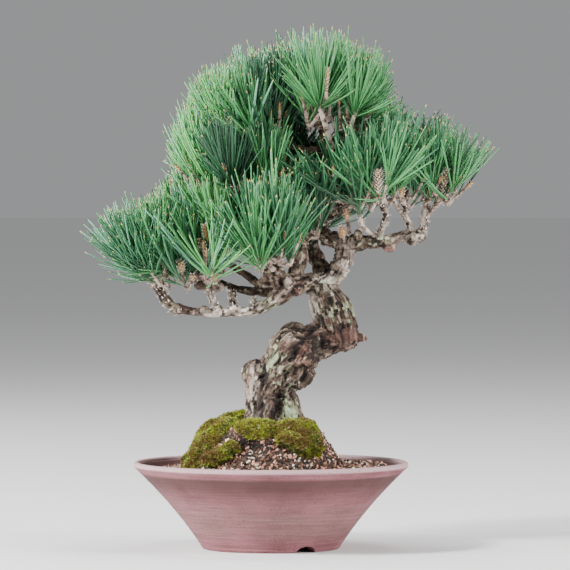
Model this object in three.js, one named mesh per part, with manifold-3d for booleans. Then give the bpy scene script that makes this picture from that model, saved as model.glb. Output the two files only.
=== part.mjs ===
// A Japanese black pine bonsai in a round unglazed pot, in millimetres with +Z up.
// The trunk leans, turns back on itself and carries its boughs as pads of upright needle tufts.
// Until the last lines x runs right, y runs away from the front and z up, from the middle of the pot's foot.
import * as THREE from "three";
import { mergeVertices } from "three/addons/utils/BufferGeometryUtils.js";
import Module from "manifold-3d";

const wasm = await Module();
wasm.setup();

// Driving dimensions.
const pot = {
  height: 60,
  footRadius: 47,
  rimRadius: 95,
  slope: 0.634, // how fast the wall leans out where it leaves the foot
  lip: 2.9,
  wall: 6.8, // measured level, through the leaning wall
  floor: 11,
  recess: 5,
  footRing: 8,
  drainRadius: 7,
  notchWide: 15,
  notchHigh: 4.5,
  notchTurn: 30.5, // degrees to the right of the front
  sides: 48,
};
const soil = { edge: 52, level: 54, tilt: 0.02, top: 84, sides: 32, crumb: 1.4 };
const mound = { x: -5, y: 0, wide: 58, deep: 50, flat: 0.6 };
const cushion = { edge: 2.4, sunk: 3, sides: 14 }; // how far a moss pad stands out of the soil, and in it
const gap = 0.3; // between pieces that touch
const ground = soil.top + gap; // the trunk's flat cut
const needle = {
  length: 48,
  vary: 0.14,
  lowest: 64, // degrees from the shoot, at its foot
  highest: 10, // and under its bud
  clear: 0.35,
};
const shoot = { radius: 1.6, band: 3.8, bands: 4, bud: 6, twist: 73, splay: 45, dome: 6 };
const twig = { collar: 4, stem: 1.9, thinnest: 1.2, taper: 0.82, fork: 0.45 };
const golden = Math.PI * (3 - Math.sqrt(5));

const materials = {
  clay: new THREE.MeshStandardMaterial({ color: 0xb98383, roughness: 0.75 }),
  soil: new THREE.MeshStandardMaterial({ color: 0x6b5349, roughness: 0.95 }),
  moss: new THREE.MeshStandardMaterial({ color: 0x6f7a24, roughness: 0.95 }),
  bark: new THREE.MeshStandardMaterial({ color: 0x77695c, roughness: 0.9 }),
  needles: new THREE.MeshStandardMaterial({ color: 0x3f7f55, roughness: 0.45 }),
};

const stalk = shoot.bands * shoot.band; // the part of a shoot that bears needles, under its bud
const up = new THREE.Vector3(0, 0, 1);
const point = (x, y, z) => new THREE.Vector3(x, y, z);

// A seeded stream of numbers between 0 and 1.
function stream(seed) {
  let state = seed;
  return () => (state = (state * 48271) % 2147483647) / 2147483647;
}

// A closed geometry as a solid, and a solid as a named mesh.
function solid(geometry) {
  const bare = geometry.clone();
  bare.deleteAttribute("normal");
  bare.deleteAttribute("uv");
  const merged = mergeVertices(bare, 1e-4);
  const mesh = { numProp: 3, vertProperties: merged.attributes.position.array };
  mesh.triVerts = new Uint32Array(merged.index.array);
  return new wasm.Manifold(new wasm.Mesh(mesh));
}

function geometryOf(body) {
  const { vertProperties, triVerts } = body.getMesh();
  const geometry = new THREE.BufferGeometry();
  geometry.setAttribute("position", new THREE.BufferAttribute(new Float32Array(vertProperties), 3));
  geometry.setIndex(new THREE.BufferAttribute(new Uint32Array(triVerts), 1));
  const flat = geometry.toNonIndexed();
  flat.computeVertexNormals();
  return flat;
}

const tree = new THREE.Group();
function addPart(name, body, material) {
  const pieces = body.decompose().sort((a, b) => b.volume() - a.volume());
  const mesh = new THREE.Mesh(geometryOf(pieces[0]), material);
  mesh.name = name;
  tree.add(mesh);
}

// A closed skin over rings of points that have the same count, with a flat cap on each end.
function skin(rings) {
  const sides = rings[0].length;
  const positions = rings.flat().flatMap((p) => [p.x, p.y, p.z]);
  const index = [];
  for (let i = 0; i < rings.length - 1; i++)
    for (let j = 0; j < sides; j++) {
      const a = i * sides + j;
      const b = i * sides + ((j + 1) % sides);
      index.push(a, b, a + sides, b, b + sides, a + sides);
    }
  const last = (rings.length - 1) * sides;
  for (let j = 1; j < sides - 1; j++) {
    index.push(0, j + 1, j);
    index.push(last, last + j, last + j + 1);
  }
  const geometry = new THREE.BufferGeometry();
  geometry.setAttribute("position", new THREE.Float32BufferAttribute(positions, 3));
  geometry.setIndex(index);
  return solid(geometry);
}

// A tapering limb through rows of x, y, z and radius. Its rings stand square to a smooth curve.
function limb(rows, { sides = 8, step = 7, grow = 0, wobble = 0, seed = 1 } = {}) {
  const curve = new THREE.CatmullRomCurve3(rows.map(([x, y, z]) => point(x, y, z)), false, "centripetal");
  const count = Math.max(rows.length > 2 ? 3 : 1, Math.round(curve.getLength() / step));
  const frames = curve.computeFrenetFrames(count, false);
  const random = stream(seed * 7919);
  const rings = [];
  for (let i = 0; i <= count; i++) {
    const t = curve.getUtoTmapping(i / count) * (rows.length - 1);
    const k = Math.min(Math.floor(t), rows.length - 2);
    const radius = THREE.MathUtils.lerp(rows[k][3], rows[k + 1][3], t - k);
    const centre = curve.getPointAt(i / count);
    const ring = [];
    for (let j = 0; j < sides; j++) {
      const turn = (2 * Math.PI * j) / sides;
      const reach = radius * (1 + wobble * (random() - 0.5)) + grow;
      ring.push(
        centre
          .clone()
          .addScaledVector(frames.normals[i], reach * Math.cos(turn))
          .addScaledVector(frames.binormals[i], reach * Math.sin(turn)),
      );
    }
    rings.push(ring);
  }
  return skin(rings);
}

function burl(x, y, z, radius, grow = 0) {
  return solid(new THREE.IcosahedronGeometry(radius + grow, radius > 15 ? 2 : 1).translate(x, y, z));
}

// The pot: a flared wall that ends in a round lip, on a foot ring round a recessed base.
const lipHeight = pot.height - pot.lip;
const flare = (pot.rimRadius - pot.footRadius - pot.slope * lipHeight) / lipHeight ** 2;
const outerRadius = (z) => pot.footRadius + pot.slope * z + flare * z * z;
const innerRadius = (z) => outerRadius(z) - pot.wall;

function makePot() {
  const profile = [[pot.footRadius - pot.footRing, 0]];
  for (const z of [0, 18, 36, 53]) profile.push([outerRadius(z), z]);
  for (const turn of [-10, 45, 100, 180]) {
    const angle = THREE.MathUtils.degToRad(turn);
    profile.push([
      pot.rimRadius - pot.lip + pot.lip * Math.cos(angle),
      lipHeight + pot.lip * Math.sin(angle),
    ]);
  }
  for (const z of [34, pot.floor]) profile.push([innerRadius(z), z]);
  profile.push([pot.drainRadius, pot.floor]);
  profile.push([pot.drainRadius, pot.recess]);
  profile.push([pot.footRadius - pot.footRing, pot.recess]);
  profile.push(profile[0]);
  const outline = profile.map(([r, z]) => new THREE.Vector2(r, z));
  let body = solid(new THREE.LatheGeometry(outline, pot.sides).rotateX(Math.PI / 2));
  const notch = new THREE.CylinderGeometry(1, 1, 3 * pot.footRing, 12);
  notch.scale(pot.notchWide / 2, 1, pot.notchHigh);
  for (const turn of [pot.notchTurn, pot.notchTurn + 180]) {
    const placed = notch.clone().translate(0, -pot.footRadius, 0).rotateZ(THREE.MathUtils.degToRad(turn));
    body = body.subtract(solid(placed));
  }
  return body;
}

// The height of the soil: nearly level by the wall, with a mound under the trunk.
function soilHeight(x, y) {
  const away = Math.hypot((x - mound.x) / mound.wide, (y - mound.y) / mound.deep);
  const rise = 1 - THREE.MathUtils.smoothstep(away, mound.flat, 1);
  const level = soil.level + soil.tilt * x;
  return THREE.MathUtils.lerp(level, soil.top, rise);
}

// The soil is crumbly where the trunk doesn't stand on it: its corners are lifted or sunk by half a crumb.
function makeSoil(lift) {
  const random = stream(17);
  const edge = innerRadius(soil.edge) - gap;
  const profile = [[0, pot.floor + gap]];
  for (const z of [pot.floor + gap, 34, soil.edge]) profile.push([innerRadius(z) - gap, z]);
  const firstOfTop = profile.length;
  const smooth = [30, 24, 0];
  for (const r of [edge - 3, 66, 60, 54, 48, 42, 36, ...smooth]) profile.push([r, soil.level]);
  const outline = profile.map(([r, z]) => new THREE.Vector2(r, z));
  const geometry = new THREE.LatheGeometry(outline, soil.sides).rotateX(Math.PI / 2);
  const at = geometry.attributes.position;
  const lastCrumbly = profile.length - smooth.length;
  const crumbs = Array.from({ length: soil.sides * profile.length }, () => soil.crumb * (random() - 0.5));
  for (let i = 0; i < at.count; i++) {
    const row = i % profile.length;
    if (row < firstOfTop) continue;
    const crumb = row < lastCrumbly ? crumbs[i % crumbs.length] : 0;
    at.setZ(i, soilHeight(at.getX(i), at.getY(i)) + crumb + lift);
  }
  return solid(geometry);
}

// A moss pad: a low cushion that follows the soil under it.
function mossPad({ x, y, wide, deep, high, turn = 0 }) {
  const levels = [1, 0.85, 0.5];
  const ringAt = (share, top) =>
    Array.from({ length: cushion.sides }, (_, j) => {
      const angle = (2 * Math.PI * j) / cushion.sides;
      const a = wide * share * Math.cos(angle);
      const b = deep * share * Math.sin(angle);
      const px = x + a * Math.cos(turn) - b * Math.sin(turn);
      const py = y + a * Math.sin(turn) + b * Math.cos(turn);
      const thick = top ? cushion.edge + high * Math.sqrt(1 - share * share) : -cushion.sunk;
      return point(px, py, soilHeight(px, py) + thick);
    });
  const under = levels.toReversed().map((share) => ringAt(share, false));
  const over = levels.map((share) => ringAt(share, true));
  return skin([...under, ...over]);
}

const mossPads = {
  moss_left: { x: -41, y: -9, wide: 21, deep: 19, high: 8.5, turn: 0.5 },
  moss_left_back: { x: -27, y: 19, wide: 16, deep: 14, high: 10 },
  moss_front: { x: -9, y: -27, wide: 16, deep: 9.5, high: 4, turn: -0.2 },
  moss_right: { x: 19, y: -23, wide: 18, deep: 13, high: 4.5, turn: 0.5 },
  moss_back: { x: 12, y: 31, wide: 22, deep: 11, high: 5 },
};

// The trunk: four runs that turn sharply where they meet, burls on the lower run, and roots to the soil.
const trunkRuns = [
  [[1.5, 0, 82, 16.5], [0.8, 0, 95, 14.6], [1, 0, 106, 14.8], [4, -1, 117, 15.5], [11, -3, 129, 17],
    [20, -3, 138, 15.5], [31, -1, 143, 12.5], [43, 1, 146, 12], [51, 1, 147, 9]],
  [[47, 1, 141, 9], [47, 1, 149, 13.3], [43.4, 1, 159, 14.1], [39.8, 1, 169, 13.6], [36.4, 1, 177, 11.2],
    [34, 0, 184, 7]],
  [[31, 0, 177, 7.5], [36, 0, 183, 8.3], [42, 0, 188, 7.8], [48, 0, 195, 7.3], [51, 0, 203, 7.2],
    [50, 0, 211, 6.2]],
  [[52, 0, 206, 6], [46, 2, 213, 6.2], [38, 4, 214.5, 5.8], [33, 5, 220, 5.4], [34, 5, 232, 5],
    [38, 4, 247, 4.6], [42, 3, 262, 4.2], [42, 2, 272, 3.8], [39, 1, 281, 3.5], [35, 0, 290, 3.1]],
];
const burls = [
  [-10.4, 1, 121, 10.2],
  [15.9, -5, 136, 17.5],
  [15.2, -1, 146, 11.2],
  [19, -2, 121, 11],
  [51, 0, 146, 10],
];
const roots = [
  [[-9, -2, 122, 8], [-11, -3, 104, 7], [-13, -5, 90, 5.5], [-17, -6, 80, 5]],
  [[0, -6, 104, 8], [-3, -11, 92, 7.5], [-5, -14, 80, 8]],
  [[10, -3, 104, 9], [14, -5, 92, 8], [17, -6, 80, 8.5]],
  [[4, 6, 104, 9], [6, 11, 92, 7], [8, 16, 80, 7]],
];
const stub = [[50, 0, 145, 7], [58, -1, 145.5, 4], [66.2, -2, 144.8, 0.9]];

function makeTrunk(grow) {
  let body = limb(trunkRuns[0], { sides: 12, step: 9, grow, wobble: 0.14, seed: 3 });
  const others = { sides: 9, step: 9, grow, wobble: 0.1, seed: 5 };
  for (const run of trunkRuns.slice(1)) body = body.add(limb(run, others));
  for (const row of burls) body = body.add(burl(...row, grow));
  for (const row of roots) body = body.add(limb(row, { ...others, sides: 7, step: 14 }));
  body = body.add(limb(stub, { sides: 6, grow }));
  const cut = new THREE.BoxGeometry(200, 200, 100).translate(0, 0, ground - grow - 50);
  return body.subtract(solid(cut));
}

// Each bough starts inside the limb that bears it, is cut back to a gap there, and ends flat at its foliage.
const boughs = {
  bough_left: [[35, 0, 183, 7], [24, -3, 183, 6.8], [15, -6, 181, 6.5], [7, -9, 175.5, 5.6],
    [-3.5, -11, 168.4, 4.4], [-14, -12, 164.2, 3.4], [-27, -12, 163.9, 2.9], [-40, -11, 162.8, 2.6],
    [-54.5, -9, 164.2, 2.6], [-64, -8, 165.3, 2.9]],
  bough_left_end: [[-63, -8, 164.6, 2.6], [-66, -8, 166, 3.1], [-71, -8, 170, 3.2],
    [-76, -8, 177, 2.9], [-80, -8, 183, 2.5]],
  bough_left_upper: [[8.3, -5, 177.3, 3.4], [-0.7, -1, 177, 3], [-9.7, 2, 177.4, 2.6],
    [-20.7, 4, 178.8, 2.3], [-28.3, 5, 181, 2.1], [-35.2, 6, 183.5, 2]],
  bough_left_rising: [[-3.5, 0, 178.5, 2.4], [-9, 3, 183, 2.5], [-15.9, 5, 188, 2.3],
    [-24.2, 7, 193, 2.1], [-32.4, 9, 198, 1.9]],
  spur_left: [[-38, -11, 164, 2], [-41, -12, 174.6, 1.9], [-44.9, -12, 180.8, 1.7]],
  link_left: [[-26, -10, 165, 2.3], [-26.5, -4, 172, 2], [-27, 3, 179, 2]],
  stub_left: [[-12.4, -11, 166, 1.9], [-12.2, -8, 171, 1.6], [-12, -6, 174.5, 1.4]],
  bough_front: [[12.4, -6, 182, 5.8], [6.7, -12.8, 188, 5], [2, -17, 193.2, 3.8]],
  bough_centre: [[16, -3, 184, 5.6], [18, -2, 194, 5.2], [20.7, -2, 202, 4.6],
    [20, -1, 210, 3.8]],
  bough_back: [[40.7, 3, 183.5, 6], [34, 13, 194, 5.4], [30, 21, 205, 4.8], [27, 29, 216, 4]],
  bough_right: [[51, 0, 208, 5.5], [61.4, -2, 211.1, 4.9], [71, -4, 212.5, 4.6],
    [80, -5, 211.8, 5], [87.6, -5, 214.9, 3.6], [96.6, -4, 216, 3.5], [106, -4, 215.3, 3.2]],
  spur_right_end: [[104.5, -4, 217, 2.9], [105.6, -5, 227, 2.7], [107, -5, 237.4, 2.6]],
  spur_right_mid: [[96.6, -4, 217, 1.8], [93.8, -6, 229, 1.5], [91.8, -7, 237.4, 1.5]],
  spur_right_front: [[73, -6, 214, 2], [78, -12, 225.6, 1.8], [78.7, -13, 232.5, 1.8],
    [74.5, -14, 240, 1.8]],
  bough_right_inner: [[34, 4, 226, 2.4], [44, -6, 231, 2.2], [53.8, -10, 236, 1.7]],
  bough_mid_left: [[33, 5, 225.6, 4.2], [16.6, 8, 230.5, 3.6], [-0.7, 10, 236, 3.1],
    [-17.9, 10, 239.4, 2.6], [-29.7, 10, 243, 2.2]],
  bough_mid_inner: [[37, 4, 241, 3], [22, 0, 243, 2.7], [9.7, -3, 243, 2.4],
    [-4, -6, 244, 2]],
  bough_upper_left: [[40.7, 3, 256, 3.6], [27, 6, 257.4, 3.3], [9.7, 9, 263, 3],
    [-6, 10, 271, 2.6], [-16.6, 10, 278, 2.2]],
  bough_upper_inner: [[42, 2, 274, 2.8], [23.5, -2, 275.3, 2.4], [6.2, -3, 280, 2]],
  bough_apex_right: [[41, 1, 274, 2.6], [47, 0, 280, 2.3], [53, 0, 285, 1.9]],
  bough_back_right: [[37.5, 4, 238, 3.2], [51, 20, 238, 2.8], [66, 33, 241, 2.2]],
  bough_back_mid: [[38, 4, 247, 3], [28, 15, 250, 2.6], [16, 21, 253, 2.2]],
  bough_back_left: [[29, 23, 208, 3.4], [10, 36, 218, 2.8], [-11, 42, 223.6, 2.2]],
  bough_back_top: [[42, 3, 271, 2.8], [33, 20, 276.7, 2.4], [20, 34, 281, 2]],
};

function makeBoughs(trunkClear) {
  const made = [trunkClear];
  for (const [name, rows] of Object.entries(boughs)) {
    let body = limb(rows, { sides: rows[0][3] > 4 ? 8 : 6, step: 9, wobble: 0.1, seed: name.length });
    for (const clear of made) body = body.subtract(clear);
    made.push(limb(rows, { sides: 8, step: 9, grow: gap + 0.5 }));
    addPart(name, body, materials.bark);
  }
}

// The pads of foliage. Each is a disc of shoots round a middle, on twigs that fork from a bough's tip.
const pads = {
  left_end: { on: "bough_left_end", at: [-77, -6, 188], wide: 9, deep: 13, shoots: 4, lean: -0.4 },
  left_front: {
    on: "spur_left", at: [-50, -15, 189], wide: 11, deep: 8, shoots: 4, lean: -0.2, bud: [9, 2.4],
  },
  left_back: { on: "bough_left_upper", at: [-51, 22, 197], wide: 14, deep: 14, shoots: 6, lean: -0.3 },
  left_mid: { on: "bough_left_rising", at: [-28, 3, 211], wide: 12, deep: 11, shoots: 5, bud: [9, 2.2] },
  front: { on: "bough_front", at: [0, -24, 201], wide: 15, deep: 10, shoots: 6 },
  centre: { on: "bough_centre", at: [27, -14, 216], wide: 10, deep: 7, shoots: 4 },
  mid_left: { on: "bough_mid_left", at: [-40, 9, 252], wide: 17, deep: 15, shoots: 7, lean: -0.3 },
  mid_inner: { on: "bough_mid_inner", at: [-12, -8, 251], wide: 16, deep: 11, shoots: 6 },
  upper_left: { on: "bough_upper_left", at: [-25, 11, 282], wide: 14, deep: 15, shoots: 5, lean: -0.3 },
  upper_inner: { on: "bough_upper_inner", at: [-1, -4, 285], wide: 14, deep: 10, shoots: 5, lean: -0.1 },
  apex: { on: "trunk", at: [34, 0, 295], wide: 13, deep: 14, shoots: 5, bud: [20, 2.6] },
  apex_right: { on: "bough_apex_right", at: [59, 2, 292], wide: 11, deep: 12, shoots: 5, lean: 0.3 },
  right_end: {
    on: "spur_right_end", at: [113, -3, 245], wide: 9, deep: 10, shoots: 4, lean: 0.4, bud: [16, 2],
  },
  right_mid: { on: "spur_right_mid", at: [91, 1, 245], wide: 9, deep: 12, shoots: 4, lean: 0.1 },
  right_front: { on: "spur_right_front", at: [72, -18, 246], wide: 7, deep: 6, shoots: 3, bud: [19, 3.6] },
  right_inner: { on: "bough_right_inner", at: [51, -11, 243], wide: 8, deep: 6, shoots: 3 },
  back_right: {
    on: "bough_back_right", at: [79, 45, 249], wide: 18, deep: 13, shoots: 5, lean: 0.2, back: 0.4,
  },
  back_left: {
    on: "bough_back_left", at: [-24, 46, 231], wide: 20, deep: 13, shoots: 6, lean: -0.3, back: 0.4,
  },
  back_top: {
    on: "bough_back_top", at: [10, 40, 289], wide: 18, deep: 12, shoots: 5, lean: -0.1, back: 0.4,
  },
  back_mid: { on: "bough_back_mid", at: [4, 25, 259], wide: 16, deep: 9, shoots: 5, lean: -0.1, back: 0.3 },
  back_low: { on: "bough_back", at: [27, 38, 221], wide: 15, deep: 9, shoots: 4, lean: 0.1, back: 0.4 },
};
const padRise = 12; // the middle of a pad's needles stands this far over its shoots
const padReach = 54; // and they go no further than this from it

// The crown's outline from the front: x, and the highest and lowest that its needles reach there.
const crown = [
  [-134, 224, 206], [-118, 240, 199], [-103, 247, 190], [-90, 252, 181], [-80, 244, 170], [-75, 251, 160],
  [-72, 284, 150], [-63, 297, 150], [-57, 315, 150], [-50, 328, 150], [-33, 340, 150], [-18, 350, 150],
  [10, 359, 150], [46, 361, 150], [60, 352, 150], [74, 350, 150], [83, 340, 190], [88, 318, 205],
  [94, 302, 212], [106, 309, 222], [124, 309, 240], [133, 298, 249], [150, 298, 264], [168, 289, 280],
];

// The points that the pad's shoots start from: a sunflower spread on a low dome.
function shootsOf(pad, random) {
  return Array.from({ length: pad.shoots }, (_, k) => {
    const share = Math.sqrt((k + 0.5) / pad.shoots);
    const angle = k * golden + 0.6;
    const x = pad.wide * share * Math.cos(angle);
    const y = pad.deep * share * Math.sin(angle);
    const z = shoot.dome * (1 - share) + 4 * (random() - 0.5);
    const start = point(...pad.at).add(point(x, y, z));
    const aim = point((pad.lean ?? 0) + x / shoot.splay, (pad.back ?? 0) + y / shoot.splay, 1).normalize();
    return { start, aim, bud: k === 0 ? pad.bud : undefined };
  });
}

// Twigs fork in two until each carries one shoot.
function twigTo(from, shoots, radius) {
  if (shoots.length === 1)
    return { from, to: shoots[0].start, radius, end: twig.thinnest, shoot: shoots[0], forks: [] };
  const middle = shoots.reduce((sum, s) => sum.add(s.start), point(0, 0, 0)).divideScalar(shoots.length);
  const turn = (s) => Math.atan2(s.start.y - middle.y, s.start.x - middle.x);
  const sorted = [...shoots].sort((s, t) => turn(s) - turn(t));
  const to = from.clone().lerp(middle, twig.fork);
  const end = Math.max(radius * twig.taper, twig.thinnest);
  const half = Math.ceil(sorted.length / 2);
  const forks = [sorted.slice(0, half), sorted.slice(half)].map((share) => twigTo(to, share, end));
  return { from, to, radius, end, forks };
}

function tipOf(pad) {
  const rows = pad.on === "trunk" ? trunkRuns.at(-1) : boughs[pad.on];
  const [before, last] = rows.slice(-2).map(([x, y, z]) => point(x, y, z));
  const along = last.clone().sub(before).normalize();
  return { start: last.clone().addScaledVector(along, gap), along, radius: Math.min(rows.at(-1)[3], 2.6) };
}

// The twigs of every pad are laid out first, so that no needle touches another pad's twigs.
const skeletons = Object.entries(pads).map(([name, pad], i) => {
  const random = stream(101 + 17 * i);
  const shoots = shootsOf(pad, random);
  const tip = tipOf(pad);
  const collar = tip.start.clone().addScaledVector(tip.along, twig.collar);
  const stem = twigTo(collar, shoots, twig.stem);
  const rods = [{ a: tip.start, b: collar, ra: tip.radius, rb: twig.stem }];
  const walk = ({ from, to, radius, end, forks }) => {
    rods.push({ a: from, b: to, ra: radius, rb: end });
    forks.forEach(walk);
  };
  walk(stem);
  for (const s of shoots) {
    const [length, radius] = s.bud ?? [shoot.bud, 0.5];
    const end = s.start.clone().addScaledVector(s.aim, stalk + length);
    rods.push({ a: s.start, b: end, ra: shoot.radius, rb: radius, shoot: s });
  }
  const middle = point(...pad.at).addScaledVector(up, padRise);
  return { name: `needles_${name}`, random, tip, stem, rods, middle };
});

const limbRows = [...trunkRuns, ...roots, ...Object.values(boughs)];
const limbBend = 0.4; // a limb's smooth skin stands this far outside its straight runs
const limbRods = limbRows.flatMap((rows) =>
  rows.slice(1).map((row, i) => ({ a: point(...rows[i]), b: point(...row), ra: rows[i][3], rb: row[3] })),
);

function distanceTo(rod, p) {
  const run = rod.b.clone().sub(rod.a);
  const t = THREE.MathUtils.clamp(p.clone().sub(rod.a).dot(run) / run.lengthSq(), 0, 1);
  const radius = THREE.MathUtils.lerp(rod.ra, rod.rb, t);
  return p.distanceTo(rod.a.clone().addScaledVector(run, t)) - radius;
}

// How far p lies inside the crown's outline. It is below zero outside.
function depthInCrown(p) {
  const next = THREE.MathUtils.clamp(crown.findIndex(([x]) => x > p.x), 1, crown.length - 1);
  const [from, to] = [crown[next - 1], crown[next]];
  const share = THREE.MathUtils.clamp((p.x - from[0]) / (to[0] - from[0]), 0, 1);
  const [top, bottom] = [1, 2].map((k) => THREE.MathUtils.lerp(from[k], to[k], share));
  return Math.min(top - p.z, p.z - bottom, p.x - crown[0][0], crown.at(-1)[0] - p.x);
}

// How far p lies inside the pad's own space: a ball, cut off by the outline and halfway to each other pad.
function depthInside(skeleton, p) {
  let depth = Math.min(padReach - p.distanceTo(skeleton.middle), depthInCrown(p));
  for (const other of skeletons) {
    if (other === skeleton) continue;
    const across = other.middle.clone().sub(skeleton.middle);
    const half = skeleton.middle.clone().addScaledVector(across, 0.5);
    depth = Math.min(depth, half.sub(p).dot(across) / across.length());
  }
  return depth;
}

// Whether a straight needle stays in its pad's space, clear of the limbs and the other pads' twigs.
function staysClear(skeleton, root, end) {
  const steps = 16;
  for (let i = 1; i <= steps; i++) {
    const p = root.clone().lerp(end, i / steps);
    const clear = shoot.radius * (1 - i / steps) + 2 * needle.clear;
    if (depthInside(skeleton, p) < clear) return false;
    if (limbRods.some((rod) => distanceTo(rod, p) < clear + limbBend)) return false;
    for (const other of skeletons)
      if (other !== skeleton && other.rods.some((rod) => distanceTo(rod, p) < clear)) return false;
  }
  return true;
}

// Whether two triangles of one skin, given as corner numbers, cut through each other.
function cutsThrough(points, one, two) {
  const shared = one.filter((i) => two.includes(i));
  if (shared.length > 1) return false;
  const pierces = (edged, faced) => {
    const [a, b, c] = faced.map((i) => points[i]);
    const normal = b.clone().sub(a).cross(c.clone().sub(a));
    return edged.some((i, k) => {
      const j = edged[(k + 1) % 3];
      if (shared.includes(i) || shared.includes(j)) return false;
      const from = points[i].clone().sub(a).dot(normal);
      const to = points[j].clone().sub(a).dot(normal);
      if (from * to >= 0) return false;
      const at = points[i].clone().lerp(points[j], from / (from - to));
      const nearly = -0.1 * normal.length();
      const side = (u, v) => v.clone().sub(u).cross(at.clone().sub(u)).dot(normal);
      return side(a, b) > nearly && side(b, c) > nearly && side(c, a) > nearly;
    });
  };
  return pierces(one, two) || pierces(two, one);
}

// A mass of foliage grows as one skin. A twig is a three-cornered face drawn out along its run,
// a fork is a face drawn up to a ridge that two twigs leave, and a needle is a face drawn out to a point.
function makePad(skeleton) {
  const { random, tip, stem } = skeleton;
  const points = [];
  const faces = [];
  const seats = [];
  const otherLimbs = limbRods.filter((rod) => rod.b.distanceTo(tip.start) > 2 * gap);

  const middleOf = (face) => face.reduce((sum, i) => sum.add(points[i]), point(0, 0, 0)).divideScalar(3);

  // Two directions square to a line, and the turn of a direction as seen along it.
  function squareTo(along) {
    const level = Math.abs(along.y) > 0.9 ? up : point(0, 1, 0);
    const side = along.clone().cross(level).normalize();
    return [side, along.clone().cross(side)];
  }
  function turnOf(direction, along) {
    const [side, other] = squareTo(along);
    return Math.atan2(direction.dot(other), direction.dot(side));
  }

  function corners(centre, along, radius, phase) {
    const [side, other] = squareTo(along);
    return [0, 1, 2].map((k) => {
      const turn = phase + (2 * Math.PI * k) / 3;
      const corner = centre.clone().addScaledVector(side, radius * Math.cos(turn));
      return points.push(corner.addScaledVector(other, radius * Math.sin(turn))) - 1;
    });
  }

  // The turn that brings new corners nearest to the old ones.
  function phaseOf(face, along) {
    const middle = middleOf(face);
    const turns = face.map((i, k) => turnOf(points[i].clone().sub(middle), along) - (2 * Math.PI * k) / 3);
    const total = (part) => turns.reduce((sum, t) => sum + part(t), 0);
    return Math.atan2(total(Math.sin), total(Math.cos));
  }

  // Adds faces unless one would cut through the skin. A face that is being drawn out is left out of the test.
  function add(fresh, source) {
    const others = [...faces.filter((other) => other !== source), ...fresh];
    const free = fresh.every((one) => others.every((other) => !cutsThrough(points, one, other)));
    if (free) faces.push(...fresh);
    return free;
  }

  // Goes through ways to do a step until one works, and clears away what each failed one left.
  function tryEach(ways, step) {
    const [pointCount, faceCount, seatCount] = [points.length, faces.length, seats.length];
    return ways.some((way) => {
      if (step(way)) return true;
      points.length = pointCount;
      faces.length = faceCount;
      seats.length = seatCount;
      return false;
    });
  }

  function drawOut(face, centre, along, radius, twist = 0) {
    const next = corners(centre, along, radius, phaseOf(face, along) + twist);
    const sides = [0, 1, 2].flatMap((k) => {
      const [a, b, c, d] = [face[k], face[(k + 1) % 3], next[k], next[(k + 1) % 3]];
      return [[a, b, c], [b, d, c]];
    });
    return add(sides) ? { next, sides } : undefined;
  }

  function drawToPoint(face, at) {
    const apex = points.push(at) - 1;
    return face.map((i, k) => [i, face[(k + 1) % 3], apex]);
  }

  function growNeedle({ face, leader, height }) {
    const { start, aim } = leader;
    const root = middleOf(face);
    const out = root.clone().sub(start);
    out.addScaledVector(aim, -out.dot(aim)).normalize();
    const across = aim.clone().cross(out);
    const full = needle.length * (1 + needle.vary * (2 * random() - 1));
    tryEach([1, 1, 0.9, 0.8, 0.65, 0.5], (share) => {
      const spread = THREE.MathUtils.lerp(needle.lowest, needle.highest, height) + 8 * (random() - 0.5);
      const angle = THREE.MathUtils.degToRad(spread);
      const away = aim.clone().multiplyScalar(Math.cos(angle)).addScaledVector(out, Math.sin(angle));
      away.addScaledVector(across, 0.5 * (random() - 0.5) * Math.sin(angle)).normalize();
      const end = root.clone().addScaledVector(away, full * share);
      if (!staysClear(skeleton, root, end) || !add(drawToPoint(face, end), face)) return false;
      faces.splice(faces.indexOf(face), 1);
      return true;
    });
  }

  function growShoot(face, leader) {
    const { start, aim } = leader;
    let end = face;
    for (let band = 0; band < shoot.bands; band++) {
      const centre = start.clone().addScaledVector(aim, (band + 1) * shoot.band);
      const drawn = drawOut(end, centre, aim, shoot.radius, THREE.MathUtils.degToRad(shoot.twist));
      if (!drawn) return false;
      drawn.sides.forEach((side, k) => {
        seats.push({ face: side, leader, height: (band + 0.25 + 0.5 * (k % 2)) / shoot.bands });
      });
      end = drawn.next;
    }
    const [length, radius] = leader.bud ?? [shoot.bud, 0];
    const top = start.clone().addScaledVector(aim, stalk);
    for (const [share, wide] of leader.bud ? [[0.25, 1], [0.65, 0.85]] : []) {
      end = drawOut(end, top.clone().addScaledVector(aim, share * length), aim, wide * radius)?.next;
      if (!end) return false;
    }
    return add(drawToPoint(end, top.addScaledVector(aim, length)));
  }

  // A twig to a shoot bends up into it. Other elbows and turns are tried where its skin would cut itself.
  function growToShoot(face, { from, shoot: leader, end }) {
    const top = leader.start.clone().addScaledVector(leader.aim, stalk + (leader.bud?.[0] ?? shoot.bud));
    if (!staysClear(skeleton, leader.start, top)) return false;
    const ways = [3, 2, 4.5, 6].flatMap((elbow) => [0, 0.5, -0.5, 1].map((twist) => ({ elbow, twist })));
    return tryEach(ways, ({ elbow, twist }) => {
      const bent = leader.start.clone().addScaledVector(leader.aim, -elbow);
      const bend = bent.clone().sub(from).normalize().add(leader.aim).normalize();
      const first = drawOut(face, bent, bend, end, twist);
      const second = first && drawOut(first.next, leader.start, leader.aim, shoot.radius);
      return second && growShoot(second.next, leader);
    });
  }

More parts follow.
